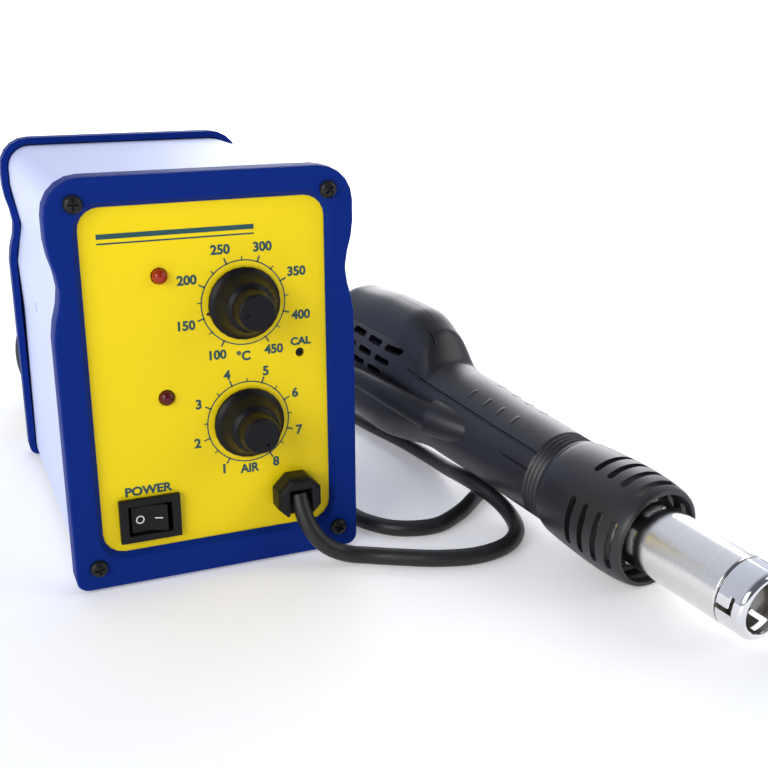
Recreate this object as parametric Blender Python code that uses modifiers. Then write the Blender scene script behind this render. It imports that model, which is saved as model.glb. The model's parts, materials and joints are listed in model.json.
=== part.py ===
"""Hot air rework station: a small bench unit with two dials, and its hot air handpiece lying beside it.

Units are metres and +Z is up. The station looks towards -Y, and the handpiece lies on its right.
Everything is modelled round two empties: one under the middle of the station's front face, and one
at the mouth of the handpiece's guard, whose Y axis runs back along the handle.
"""

import bpy
import bmesh
from math import cos, exp, pi, radians, sin
from mathutils import Euler, Matrix, Vector

# Station case
CASE_WIDTH = 0.100
CASE_DEPTH = 0.150
CASE_HEIGHT = 0.138
GROUND_GAP = 0.0008
CASE_TOP_RADIUS = 0.012
CASE_FOOT_RADIUS = 0.004
WAIST_DEPTH = 0.0029
WAIST_LOW = CASE_HEIGHT * 0.634
WAIST_MIDDLE = CASE_HEIGHT * 0.7464
WAIST_HIGH = CASE_HEIGHT * 0.8623
GAP = 0.0003
EDGE_ROUND = 0.0012

# Bezels and the panels behind them
BEZEL_DEPTH = 0.0095
BEZEL_FLANGE = 0.0022
BEZEL_WALL = 0.0026
OPENING_SIDE_MARGIN = 0.010
OPENING_TOP_MARGIN = 0.0097
OPENING_HALF_WIDTH = CASE_WIDTH / 2 - OPENING_SIDE_MARGIN
OPENING_LOW = 0.0126
OPENING_HIGH = CASE_HEIGHT - OPENING_TOP_MARGIN
OPENING_RADIUS = 0.007
OPENING_CHAMFER = 0.0018
PANEL_THICKNESS = 0.0015
PANEL_RADIUS = 0.006

# Sheet metal cover and tray
SHEET = 0.0010
COVER_INSET = BEZEL_WALL + 0.0005
BAND_LOW = CASE_HEIGHT * 0.4928
BAND_STEP = 0.0008
SIDE_HOLE_RADIUS = 0.0021
SIDE_HOLE = (CASE_DEPTH * 0.564, CASE_HEIGHT * 0.5804)
SIDE_SLOT = (CASE_DEPTH * 0.4413, CASE_HEIGHT * 0.4928)
SIDE_SLOT_SIZE = (0.0016, 0.0050)
TRAY_THICKNESS = 0.0012
TRAY_FLANGE_HEIGHT = 0.0105
FOOT_HEIGHT = 0.0040
FOOT_RADIUS = 0.006
FOOT_INSET_X = 0.014
FOOT_INSET_Y = 0.022

# Case screws
SCREW_HEAD_RADIUS = 0.0030
SCREW_HEAD_HEIGHT = 0.0017
SCREW_RADIUS = 0.0014
SCREW_LENGTH = 0.0085
SCREW_TOP_INSET = (0.009, 0.008)
SCREW_BOTTOM_INSET = (0.0075, 0.009)
SCREW_TOP = (CASE_WIDTH / 2 - SCREW_TOP_INSET[0], CASE_HEIGHT - SCREW_TOP_INSET[1])
SCREW_BOTTOM = (CASE_WIDTH / 2 - SCREW_BOTTOM_INSET[0], SCREW_BOTTOM_INSET[1])

# Dials
KNOB_X = CASE_WIDTH * 0.116
TEMPERATURE_Z = CASE_HEIGHT * 0.6819
AIR_Z = CASE_HEIGHT * 0.3804
KNOB_SKIRT_RADIUS = 0.0123
KNOB_WAIST_RADIUS = 0.0086
KNOB_CAP_RADIUS = 0.0064
KNOB_HEIGHT = 0.0165
KNOB_CLEARANCE = 0.0007
SHAFT_RADIUS = 0.0030
BUSH_RADIUS = 0.0039
NUT_RADIUS = 0.0058
POT_RADIUS = 0.0080
POT_DEPTH = 0.0085
SCALE_SWEEP = 300.0
TEMPERATURE_SETTING = 49.0
AIR_SETTING = 300.0

# Lamps and the calibration hole
LAMP_X = -CASE_WIDTH * 0.157
HEATER_LAMP_Z = CASE_HEIGHT * 0.7630
POWER_LAMP_Z = CASE_HEIGHT * 0.4674
LAMP_RADIUS = 0.0025
CAL_X = CASE_WIDTH * 0.307
CAL_Z = CASE_HEIGHT * 0.5428
CAL_HOLE_RADIUS = 0.0016

# Power switch
SWITCH_X = -CASE_WIDTH * 0.241
SWITCH_Z = 0.0234
SWITCH_SIZE = (0.0206, 0.0154)
SWITCH_RIM = 0.0020
SWITCH_WINDOW = (0.0146, 0.0104)
SWITCH_BODY = (0.0184, 0.0132, 0.0150)
ROCKER_TILT = 8.0
ROCKER_CLEARANCE = 0.0011

# Lead gland on the front and its lead
GLAND_X = CASE_WIDTH * 0.269
GLAND_Z = 0.0243
GLAND_HEAD = 0.0158
GLAND_PROUD = 0.0088
GLAND_WINDOW = 0.0080
GLAND_SHANK_RADIUS = 0.0058
LEAD_RADIUS = 0.00305

# Rear of the station
MAINS_X = -CASE_WIDTH * 0.33
MAINS_Z = 0.056
MAINS_RADIUS = 0.0032
MAINS_BOOT_RADIUS = 0.0052
FUSE_X = CASE_WIDTH * 0.20
FUSE_Z = 0.040
FUSE_RADIUS = 0.0065
VENT_COUNT = 7
VENT_SIZE = (0.0028, 0.030)
VENT_PITCH = 0.0075
VENT_Z = CASE_HEIGHT * 0.7101

# Inside the station
BOARD_SIZE = (CASE_WIDTH - 0.024, CASE_DEPTH * 0.3867, 0.0016)
BOARD_Y = CASE_DEPTH * 0.32
BOARD_EDGE = 0.004
RELAY_SIZE = (0.016, 0.015)
CAPACITOR_SIZE = (0.0055, 0.018)
STANDOFF_HEIGHT = 0.008
STANDOFF_RADIUS = 0.0030
CORE_SIZE = (CASE_WIDTH * 0.48, 0.024, 0.040)
CORE_LEG = 0.012
CORE_YOKE = 0.006
WINDING_SPREAD = 0.009
STRAP_FOOT = 0.009
TRANSFORMER_SIDE_GAP = 0.0067
TRANSFORMER_REAR_GAP = 0.038
TRANSFORMER_X = CORE_SIZE[0] / 2 + STRAP_FOOT + GAP + TRANSFORMER_SIDE_GAP - CASE_WIDTH / 2
TRANSFORMER_Y = CASE_DEPTH - TRANSFORMER_REAR_GAP

# Handpiece pose: the mouth of the guard, the turn away from straight ahead, and the dip of the nose
MOUTH = (0.1293, -0.0707, 0.0182)
HEADING = 0.168
DIP = 0.100

# Handpiece, measured back from the mouth of the guard
GUARD_LENGTH = 0.041
GUARD_MOUTH_RADIUS = 0.0180
GUARD_BULGE = 0.0014
GUARD_WALL = 0.0022
GUARD_SEAT = 0.0068
SLOT_ROWS = 4
SLOT_GROUPS = 4
SLOT_FIRST = 0.0042
SLOT_PITCH = 0.0064
SLOT_WIDTH = 0.0025
SLOT_SPAN = 57.0
SPIGOT_RADIUS = 0.0146
SPIGOT_LENGTH = 0.0080
HANDLE_WALL = 0.0018
HANDLE_END = 0.203
SEAM = 0.00015
BARREL_RADIUS = 0.0120
BARREL_STEP_RADIUS = 0.0134
BARREL_STEP = 0.0050
BARREL_WALL = 0.0007
BARREL_REACH = 0.0353
COLLAR_LENGTH = 0.0107
COLLAR_RADIUS = 0.0117
COLLAR_MOUTH_RADIUS = 0.0090
COLLAR_TONGUE = 0.006
MICA_WALL = 0.0005
CORE_RADIUS = 0.0070
CORE_REACH = 0.0300
COIL_WIRE_RADIUS = 0.0006
COIL_TURNS = 9
GROOVE_ANGLE = 44.0
GROOVE_START = 0.050
GROOVE_END = 0.130
GROOVE_WIDTH = 0.0011
GROOVE_DEPTH = 0.0009

# Blower in the tail of the handle
BLOWER_Y = 0.163
BLOWER_Z = 0.005
BLOWER_RADIUS = 0.0195
BLOWER_HALF_WIDTH = 0.0104
BLOWER_WALL = 0.0012
BLOWER_INLET_RADIUS = 0.0100
DUCT_HEIGHT = 0.014
DUCT_LENGTH = 0.024
IMPELLER_RADIUS = 0.0160
IMPELLER_HUB = 0.0100
IMPELLER_BLADES = 15
MOTOR_RADIUS = 0.0070
MOTOR_CLEARANCE = 0.0004

VENT_ROWS = 4
VENT_COLUMNS = 3
SIDE_VENT_SIZE = (0.0094, 0.0024)
SIDE_VENT_PITCH = (0.0128, 0.0051)
SIDE_VENT_SHIFT = 0.0034
SIDE_VENT_FIRST = (0.1404, 0.0212)

# Boot that carries the lead out of the handle's left side: back, left, up, thickness
BOOT_PATH = (
    (0.093, 0.0115, 0.0036, 0.0056),
    (0.100, 0.0155, 0.0044, 0.0056),
    (0.106, 0.0188, 0.0052, 0.0055),
    (0.112, 0.0215, 0.0064, 0.0053),
    (0.119, 0.0240, 0.0076, 0.0050),
    (0.127, 0.0259, 0.0085, 0.0047),
    (0.136, 0.0270, 0.0088, 0.0044),
    (0.145, 0.0276, 0.0086, 0.0042),
    (0.153, 0.0278, 0.0080, 0.0040),
)

# The lead's own route over the bench, from the gland to the boot, in the station's axes
LEAD_ROUTE = (
    (0.0269, -0.0034, 0.0252),
    (0.0274, -0.0064, 0.0196),
    (0.0296, -0.0096, 0.0132),
    (0.0340, -0.0116, 0.0078),
    (0.0406, -0.0126, 0.0042),
    (0.0486, -0.0154, 0.0031),
    (0.0580, -0.0210, 0.0031),
    (0.0702, -0.0273, 0.0031),
    (0.0842, -0.0304, 0.0031),
    (0.0966, -0.0272, 0.0031),
    (0.1056, -0.0186, 0.0031),
    (0.1096, -0.0076, 0.0037),
    (0.1092, 0.0030, 0.0063),
    (0.1064, 0.0110, 0.0089),
    (0.1050, 0.0185, 0.0095),
    (0.1053, 0.0280, 0.0084),
    (0.1070, 0.0420, 0.0056),
    (0.1080, 0.0600, 0.0035),
    (0.1060, 0.0820, 0.0031),
    (0.0996, 0.1155, 0.0031),
    (0.0957, 0.1425, 0.0031),
    (0.0909, 0.1664, 0.0031),
    (0.0693, 0.1832, 0.0031),
    (0.0484, 0.1890, 0.0031),
    (0.0360, 0.1821, 0.0031),
    (0.0327, 0.1752, 0.0031),
    (0.0359, 0.1613, 0.0031),
    (0.0428, 0.1560, 0.0031),
    (0.0553, 0.1538, 0.0031),
    (0.0619, 0.1490, 0.0031),
    (0.0664, 0.1367, 0.0031),
    (0.0575, 0.1080, 0.0031),
    (0.0550, 0.0800, 0.0031),
    (0.0545, 0.0340, 0.0031),
    (0.0575, 0.0130, 0.0031),
    (0.0660, 0.0018, 0.0031),
    (0.0800, -0.0020, 0.0031),
    (0.0925, 0.0042, 0.0031),
    (0.1070, 0.0168, 0.0031),
    (0.1190, 0.0280, 0.0031),
    (0.1315, 0.0470, 0.0031),
    (0.1380, 0.0780, 0.0031),
    (0.1360, 0.1120, 0.0031),
    (0.1260, 0.1430, 0.0031),
    (0.1080, 0.1610, 0.0052),
    (0.0885, 0.1605, 0.0120),
    (0.0728, 0.1410, 0.0210),
    (0.0686, 0.1140, 0.0310),
    (0.0716, 0.0960, 0.0368),
    (0.0764, 0.0748, 0.0414),
)
LEAD_POINTS = 72

# The mains lead's route, from its boot to the coil behind the station, in the station's axes
MAINS_ROUTE = (
    (-0.0330, 0.1719, 0.0560),
    (-0.0334, 0.1755, 0.0559),
    (-0.0342, 0.1792, 0.0554),
    (-0.0364, 0.1852, 0.0536),
    (-0.0400, 0.1922, 0.0489),
    (-0.0420, 0.1956, 0.0447),
    (-0.0442, 0.1992, 0.0361),
    (-0.0441, 0.2001, 0.0259),
    (-0.0420, 0.1986, 0.0180),
    (-0.0360, 0.1938, 0.0092),
    (-0.0339, 0.1921, 0.0075),
)
MAINS_POINTS = 28
COIL_CENTRE = (0.0050, 0.2160)
COIL_MEAN_RADIUS = 0.0355
COIL_WIDE = 2
COIL_HIGH = 3
PLUG_TURN = (170.0, 330.0)
PLUG_TURN_RADII = (0.0375, 0.0300)
PLUG_HALF = (0.0120, 0.0064)
PLUG_PIN_RADIUS = 0.0024
PLUG_PIN_SPACING = 0.019
COIL_THICK = 2 * MAINS_RADIUS + 0.0001

ROUND_STEPS = 24
SMALL_STEPS = 12

BLUE = (0.022, 0.060, 0.300)
PALE = (0.74, 0.76, 0.90)
YELLOW = (0.94, 0.70, 0.005)
BLACK = (0.010, 0.010, 0.012)
GREY_BLACK = (0.045, 0.045, 0.052)
STEEL = (0.62, 0.60, 0.58)


def empty_scene():
    """Remove what a new file holds and return the collections for the parts and the cutters."""
    for item in list(bpy.data.objects):
        bpy.data.objects.remove(item, do_unlink=True)
    parts = bpy.data.collections.new("hot_air_rework_station")
    tools = bpy.data.collections.new("cutters")
    bpy.context.scene.collection.children.link(parts)
    bpy.context.scene.collection.children.link(tools)
    return parts, tools


PARTS, TOOLS = empty_scene()


def finish(name, colour, roughness, metallic=0.0):
    """One Principled material."""
    made = bpy.data.materials.new(name)
    made.use_nodes = True
    shader = made.node_tree.nodes["Principled BSDF"]
    shader.inputs["Base Color"].default_value = (*colour, 1.0)
    shader.inputs["Roughness"].default_value = roughness
    shader.inputs["Metallic"].default_value = metallic
    return made


def frame_empty(name, location=(0, 0, 0), rotation=(0, 0, 0), parent=None):
    """An empty that the pieces of one unit hang from."""
    made = bpy.data.objects.new(name, None)
    made.location = location
    made.rotation_euler = rotation
    made.parent = parent
    PARTS.objects.link(made)
    return made


ORIGIN = frame_empty("set_frame")
STATION = frame_empty("station_frame", parent=ORIGIN)
HANDPIECE = frame_empty("handpiece_frame", MOUTH, (DIP, 0.0, HEADING), ORIGIN)
bpy.context.view_layer.update()


def new_object(name, mesh, look=None, parent=STATION, location=(0, 0, 0), rotation=(0, 0, 0)):
    """Put a mesh or curve in the parts, or in the cutters when it has no look of its own."""
    made = bpy.data.objects.new(name, mesh)
    made.location = location
    made.rotation_euler = rotation
    made.parent = parent
    if look is None:
        TOOLS.objects.link(made)
        made.hide_render = True
        made.display_type = "WIRE"
    else:
        PARTS.objects.link(made)
        mesh.materials.append(look)
    return made


def mesh_from(name, points, faces):
    """A mesh with its faces turned outwards."""
    mesh = bpy.data.meshes.new(name)
    mesh.from_pydata([tuple(p) for p in points], [], faces)
    shape = bmesh.new()
    shape.from_mesh(mesh)
    bmesh.ops.remove_doubles(shape, verts=shape.verts, dist=1e-6)
    bmesh.ops.recalc_face_normals(shape, faces=shape.faces)
    shape.to_mesh(mesh)
    shape.free()
    return mesh


def lofted(name, loops, ring=False):
    """Join loops of equal length into a skin, closed by end caps or, for a ring, back on itself."""
    count = len(loops[0])
    points = [p for loop in loops for p in loop]
    faces = []
    for k in range(len(loops) if ring else len(loops) - 1):
        first = k * count
        second = ((k + 1) % len(loops)) * count
        for i in range(count):
            j = (i + 1) % count
            faces.append((first + i, first + j, second + j, second + i))
    if not ring:
        faces.append(tuple(range(count)))
        faces.append(tuple(range(len(points) - count, len(points))))
    return mesh_from(name, points, faces)


def box_mesh(name, low, high):
    """A box between two corners."""
    shape = bmesh.new()
    bmesh.ops.create_cube(shape, size=1.0)
    middle = [(a + b) / 2 for a, b in zip(low, high)]
    bmesh.ops.scale(shape, vec=[b - a for a, b in zip(low, high)], verts=shape.verts)
    bmesh.ops.translate(shape, vec=middle, verts=shape.verts)
    mesh = bpy.data.meshes.new(name)
    shape.to_mesh(mesh)
    shape.free()
    return mesh


def rod_mesh(name, start, end, radius, steps=SMALL_STEPS, end_radius=None):
    """A cylinder or cone between two points."""
    start, end = Vector(start), Vector(end)
    run = end - start
    turn = run.to_track_quat("Z", "Y").to_matrix().to_4x4()
    shape = bmesh.new()
    bmesh.ops.create_cone(shape, cap_ends=True, segments=steps, radius1=radius,
                          radius2=radius if end_radius is None else end_radius, depth=run.length)
    bmesh.ops.transform(shape, matrix=Matrix.Translation((start + end) / 2) @ turn, verts=shape.verts)
    mesh = bpy.data.meshes.new(name)
    shape.to_mesh(mesh)
    shape.free()
    return mesh


def joined_mesh(name, meshes):
    """Several closed shapes in one mesh, still separate bodies."""
    shape = bmesh.new()
    for mesh in meshes:
        shape.from_mesh(mesh)
    made = bpy.data.meshes.new(name)
    shape.to_mesh(made)
    shape.free()
    return made


def baked(source):
    """The evaluated mesh of an object, moved by its own matrix, and the object removed."""
    bpy.context.view_layer.update()
    graph = bpy.context.evaluated_depsgraph_get()
    mesh = bpy.data.meshes.new_from_object(source.evaluated_get(graph))
    shape = bmesh.new()
    shape.from_mesh(mesh)
    bmesh.ops.remove_doubles(shape, verts=shape.verts, dist=1e-6)
    bmesh.ops.transform(shape, matrix=source.matrix_local, verts=shape.verts)
    shape.to_mesh(mesh)
    shape.free()
    bpy.data.objects.remove(source, do_unlink=True)
    return mesh


def turned(name, profile, look=None, steps=ROUND_STEPS, ring=False, **place):
    """A turned piece: (radius, height) points down the outer side, spun round local Z."""
    mesh = bpy.data.meshes.new(name)
    edges = [(i, i + 1) for i in range(len(profile) - 1)]
    if ring:
        edges.append((len(profile) - 1, 0))
    mesh.from_pydata([(r, 0, h) for r, h in profile], edges, [])
    made = new_object(name, mesh, look, **place)
    screw = made.modifiers.new("spin", "SCREW")
    screw.axis = "Z"
    screw.steps = steps
    screw.render_steps = steps
    screw.use_merge_vertices = True
    screw.merge_threshold = 0.00001
    screw.use_smooth_shade = False
    return made


def turned_mesh(name, profile, steps=SMALL_STEPS, ring=False, turn=(0, 0, 0), location=(0, 0, 0)):
    """The mesh of a turned piece, for groups and cutters."""
    return baked(turned(name, profile, None, steps, ring, rotation=turn, location=location))


def plate(name, outline, holes, start, end, look=None, **place):
    """A flat plate in X and Z with holes, between two places along Y."""
    curve = bpy.data.curves.new(name, "CURVE")
    curve.dimensions = "2D"
    curve.fill_mode = "BOTH"
    curve.extrude = (end - start) / 2
    for loop in [outline, *holes]:
        spline = curve.splines.new("POLY")
        spline.points.add(len(loop) - 1)
        for point, (x, z) in zip(spline.points, loop):
            point.co = (x, z, 0, 1)
        spline.use_cyclic_u = True
    flat = new_object(name + "_curve", curve, None, ORIGIN, (0, (start + end) / 2, 0), (pi / 2, 0, 0))
    mesh = baked(flat)
    mesh.name = name
    return new_object(name, mesh, look, **place)


def tube(name, points, radius, look=None, radii=None, fineness=2, **place):
    """A round wire, cord or boot along points, with its ends closed."""
    curve = bpy.data.curves.new(name, "CURVE")
    curve.dimensions = "3D"
    curve.bevel_depth = radius
    curve.bevel_resolution = fineness
    curve.use_fill_caps = True
    spline = curve.splines.new("POLY")
    spline.points.add(len(points) - 1)
    for i, p in enumerate(points):
        spline.points[i].co = (*p, 1)
        spline.points[i].radius = 1.0 if radii is None else radii[i] / radius
    return new_object(name, curve, look, **place)


def boolean(target, operation, *others):
    """Add or take away shapes, in order."""
    for other in others:
        step = target.modifiers.new(operation.lower(), "BOOLEAN")
        step.operation = operation
        step.object = other
        step.solver = "EXACT"


def smooth_route(route, count):
    """Points at equal steps along a smooth curve through the route's points."""
    knots = [Vector(p) for p in route]
    runs = [(b - a).length for a, b in zip(knots, knots[1:])]
    slopes = [(b - a) / run for a, b, run in zip(knots, knots[1:], runs)]
    heads = [slopes[0]]
    for i in range(1, len(slopes)):
        heads.append((slopes[i - 1] * runs[i] + slopes[i] * runs[i - 1]) / (runs[i - 1] + runs[i]))
    heads.append(slopes[-1])
    fine = []
    for i, run in enumerate(runs):
        for k in range(20):
            t = k / 20
            fine.append(knots[i] * (2 * t ** 3 - 3 * t * t + 1) + heads[i] * run * (t ** 3 - 2 * t * t + t)
                        + knots[i + 1] * (3 * t * t - 2 * t ** 3) + heads[i + 1] * run * (t ** 3 - t * t))
    fine.append(knots[-1])
    distances = [0.0]
    for a, b in zip(fine, fine[1:]):
        distances.append(distances[-1] + (b - a).length)
    points = []
    k = 0
    for i in range(count):
        goal = distances[-1] * i / (count - 1)
        while k < len(distances) - 2 and distances[k + 1] < goal:
            k += 1
        share = (goal - distances[k]) / max(distances[k + 1] - distances[k], 1e-9)
        points.append(fine[k].lerp(fine[k + 1], min(max(share, 0.0), 1.0)))
    return points


def arc(centre, radius, start, end, count):
    """Points on an arc, angles in degrees."""
    x, z = centre
    steps = [radians(start + (end - start) * k / (count - 1)) for k in range(count)]
    return [(x + radius * cos(a), z + radius * sin(a)) for a in steps]


def circle(x, z, radius, count=SMALL_STEPS):
    """A closed round hole."""
    return [(x + radius * cos(2 * pi * k / count), z + radius * sin(2 * pi * k / count)) for k in range(count)]


def rectangle(x, z, width, height):
    """A closed rectangular hole."""
    return [(x - width / 2, z - height / 2), (x + width / 2, z - height / 2),
            (x + width / 2, z + height / 2), (x - width / 2, z + height / 2)]


def waist(z):
    """How far the case's side is drawn in at a height: a soft hollow two thirds of the way up."""
    if z <= WAIST_LOW or z >= WAIST_HIGH:
        return 0.0
    if z < WAIST_MIDDLE:
        share = (z - WAIST_LOW) / (WAIST_MIDDLE - WAIST_LOW)
    else:
        share = (WAIST_HIGH - z) / (WAIST_HIGH - WAIST_MIDDLE)
    return WAIST_DEPTH * (1 - cos(pi * share)) / 2


def rounded_outline(half_width, low, high, low_radius, high_radius, hollow=True):
    """A closed outline in X and Z, with the same number of points for every size."""
    side = [WAIST_LOW + (WAIST_HIGH - WAIST_LOW) * k / 6 for k in range(7)]
    right = [(half_width - (waist(z) if hollow else 0.0), z) for z in side]
    low_x, high_x = half_width - low_radius, half_width - high_radius
    points = arc((low_x, low + low_radius), low_radius, -90, 0, 5) + right
    points += arc((high_x, high - high_radius), high_radius, 0, 90, 6)
    points += arc((-high_x, high - high_radius), high_radius, 90, 180, 6)
    points += [(-x, z) for x, z in reversed(right)]
    points += arc((-low_x, low + low_radius), low_radius, 180, 270, 5)
    return points


def case_outline(inset):
    """The case's outline moved in by a distance."""
    return rounded_outline(CASE_WIDTH / 2 - inset, GROUND_GAP + inset, CASE_HEIGHT - inset,
                           max(CASE_FOOT_RADIUS - inset, 0.001), CASE_TOP_RADIUS - inset)


def opening_outline(spread):
    """The opening for the panel, spread outwards by a distance."""
    return rounded_outline(OPENING_HALF_WIDTH + spread, OPENING_LOW - spread, OPENING_HIGH + spread,
                           OPENING_RADIUS + spread, OPENING_RADIUS + spread, hollow=False)


def panel_outline():
    """The panel, which lies behind the bezel's flange and inside the cover."""
    half_width = CASE_WIDTH / 2 - COVER_INSET - SHEET - WAIST_DEPTH - 2 * GAP
    inset = COVER_INSET + SHEET + 2 * GAP
    return rounded_outline(half_width, GROUND_GAP + BEZEL_WALL + 2 * GAP + TRAY_THICKNESS,
                           CASE_HEIGHT - inset, 0.002, PANEL_RADIUS, hollow=False)


def screw_places():
    """Where the four screws of a bezel sit, in X and Z."""
    return [(side * x, z) for x, z in (SCREW_TOP, SCREW_BOTTOM) for side in (-1, 1)]


PANEL_FRONT = BEZEL_FLANGE + GAP
PANEL_BACK = PANEL_FRONT + PANEL_THICKNESS
TAB_FRONT = PANEL_BACK + GAP
TRAY_LOW = FOOT_HEIGHT + GAP
FACING = {"front": 1, "rear": -1}


def along(side, distance):
    """A place along Y, measured in from the front or the rear face."""
    return distance if side == "front" else CASE_DEPTH - distance


def make_bezel(side, look):
    """A plastic frame: a chamfered opening in a flange, and a skirt that caps the cover's end."""
    rings = (
        (case_outline(EDGE_ROUND), 0.0),
        (case_outline(EDGE_ROUND * 0.3), EDGE_ROUND * 0.3),
        (case_outline(0.0), EDGE_ROUND),
        (case_outline(0.0), BEZEL_DEPTH),
        (case_outline(BEZEL_WALL), BEZEL_DEPTH),
        (case_outline(BEZEL_WALL), BEZEL_FLANGE),
        (opening_outline(0.0), BEZEL_FLANGE),
        (opening_outline(OPENING_CHAMFER), 0.0),
    )
    loops = [[(x, along(side, y), z) for x, z in loop] for loop, y in rings]
    name = side + "_bezel"
    frame = new_object(name, lofted(name, loops, ring=True), look)
    ends = (along(side, -0.002), along(side, BEZEL_DEPTH))
    holes = [rod_mesh("hole", (x, ends[0], z), (x, ends[1], z), SCREW_RADIUS + GAP, 12)
             for x, z in screw_places()]
    boolean(frame, "DIFFERENCE", new_object(name + "_holes", joined_mesh("holes", holes)))
    return frame


def notch_corners(panel, side):
    """Cut the panel's corners away round the bezel's screws, which pass just inside its edge."""
    start, end = sorted((along(side, 0.0), along(side, BEZEL_DEPTH)))
    pegs = [rod_mesh("peg", (x, start, z), (x, end, z), SCREW_RADIUS + 2 * GAP, 12) for x, z in screw_places()]
    boolean(panel, "DIFFERENCE", new_object(side + "_panel_notches", joined_mesh("pegs", pegs)))


def make_front_panel(look):
    """The front panel with its holes for dials, lamps, switch, trimmer and lead."""
    holes = [circle(KNOB_X, z, BUSH_RADIUS + GAP) for z in (TEMPERATURE_Z, AIR_Z)]
    holes += [circle(LAMP_X, z, LAMP_RADIUS + GAP) for z in (HEATER_LAMP_Z, POWER_LAMP_Z)]
    holes.append(circle(CAL_X, CAL_Z, CAL_HOLE_RADIUS))
    holes.append(circle(GLAND_X, GLAND_Z, GLAND_SHANK_RADIUS + GAP))
    holes.append(rectangle(SWITCH_X, SWITCH_Z, SWITCH_BODY[0] + 2 * GAP, SWITCH_BODY[1] + 2 * GAP))
    panel = plate("front_panel", panel_outline(), holes, PANEL_FRONT, PANEL_BACK, look)
    notch_corners(panel, "front")


def make_rear_panel(look):
    """The rear panel with its cooling slots, fuse hole and mains hole."""
    holes = [circle(MAINS_X, MAINS_Z, MAINS_BOOT_RADIUS + GAP)]
    holes.append(circle(FUSE_X, FUSE_Z, FUSE_RADIUS - 0.0010 + GAP))
    first = -VENT_PITCH * (VENT_COUNT - 1) / 2
    holes += [rectangle(first + VENT_PITCH * k, VENT_Z, *VENT_SIZE) for k in range(VENT_COUNT)]
    panel = plate("rear_panel", panel_outline(), holes, CASE_DEPTH - PANEL_BACK, CASE_DEPTH - PANEL_FRONT, look)
    notch_corners(panel, "rear")


def cover_path():
    """The cover's section: up one side, over the top and down the other, folded in at the waist."""
    half_width = CASE_WIDTH / 2 - COVER_INSET
    top = CASE_HEIGHT - COVER_INSET
    radius = CASE_TOP_RADIUS - COVER_INSET
    side = [(half_width, TRAY_LOW), (half_width - BAND_STEP, BAND_LOW), (half_width, WAIST_LOW)]
    side += [(half_width - WAIST_DEPTH, WAIST_MIDDLE), (half_width, WAIST_HIGH)]
    right = side + arc((half_width - radius, top - radius), radius, 0, 90, 6)
    return right + [(-x, z) for x, z in reversed(right)]


def make_cover(look):
    """The folded sheet cover, with corner tabs for the bezels' top screws and two small openings in its left side."""
    path = cover_path()
    start, end = PANEL_FRONT, CASE_DEPTH - PANEL_FRONT
    points = [(x, start, z) for x, z in path] + [(x, end, z) for x, z in path]
    count = len(path)
    faces = [(i, i + 1, count + i + 1, count + i) for i in range(count - 1)]
    mesh = bpy.data.meshes.new("top_cover")
    mesh.from_pydata(points, [], [tuple(reversed(f)) for f in faces])
    cover = new_object("top_cover", mesh, look)
    skin = cover.modifiers.new("sheet", "SOLIDIFY")
    skin.thickness = SHEET
    skin.offset = -1.0
    skin.use_even_offset = True
    x, z = SCREW_TOP
    reach = CASE_WIDTH / 2 - COVER_INSET - SHEET / 2
    top = CASE_HEIGHT - COVER_INSET - SHEET / 2
    tab = [(x - 0.0055, top), (reach - 0.0070, top), (reach - 0.0011, z - 0.0003), (reach - 0.0011, z - 0.0042),
           (x - 0.0055, z - 0.0042)]
    for side in FACING:
        near, far = sorted((along(side, TAB_FRONT), along(side, TAB_FRONT + TRAY_THICKNESS)))
        for hand in (-1, 1):
            loops = [[(hand * px, y, pz) for px, pz in tab] for y in (near, far)]
            boolean(cover, "UNION", new_object("cover_tab", lofted("cover_tab", loops)))
            hole = rod_mesh("hole", (hand * x, near - 0.001, z), (hand * x, far + 0.001, z), SCREW_RADIUS + GAP, 12)
            boolean(cover, "DIFFERENCE", new_object("tab_hole", hole))
    left = -CASE_WIDTH / 2
    hole_y, hole_z = SIDE_HOLE
    peg = rod_mesh("hole", (left - 0.001, hole_y, hole_z), (left + 0.010, hole_y, hole_z), SIDE_HOLE_RADIUS)
    slot_y, slot_z = SIDE_SLOT
    width, height = (size / 2 for size in SIDE_SLOT_SIZE)
    slot = box_mesh("slot", (left - 0.001, slot_y - width, slot_z - height),
                    (left + 0.010, slot_y + width, slot_z + height))
    boolean(cover, "DIFFERENCE", new_object("side_hole", peg), new_object("side_slot", slot))
    return cover


def make_tray(look):
    """The base tray: a floor with upturned edges, which takes the bezels' bottom screws."""
    half_width = CASE_WIDTH / 2 - COVER_INSET - SHEET - GAP - BAND_STEP
    low, floor = TRAY_LOW, TRAY_LOW + TRAY_THICKNESS
    front, back = TAB_FRONT, CASE_DEPTH - TAB_FRONT
    tray = new_object("base_tray", box_mesh("base_tray", (-half_width, front, low),
                                            (half_width, back, low + TRAY_FLANGE_HEIGHT)), look)
    inside = box_mesh("hollow", (-half_width + TRAY_THICKNESS, front + TRAY_THICKNESS, floor),
                      (half_width - TRAY_THICKNESS, back - TRAY_THICKNESS, CASE_HEIGHT))
    boolean(tray, "DIFFERENCE", new_object("tray_hollow", inside))
    x, z = SCREW_BOTTOM
    holes = [rod_mesh("hole", (hand * x, -0.002, z), (hand * x, CASE_DEPTH + 0.002, z), SCREW_RADIUS + GAP, 12)
             for hand in (-1, 1)]
    boolean(tray, "DIFFERENCE", new_object("tray_holes", joined_mesh("holes", holes)))
    posts = [rod_mesh("post", (px, py, floor - 0.0006), (px, py, floor + STANDOFF_HEIGHT), STANDOFF_RADIUS, 6)
             for px, py in board_corners()]
    boolean(tray, "UNION", new_object("board_standoffs", joined_mesh("board_standoffs", posts)))
    return tray


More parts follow.
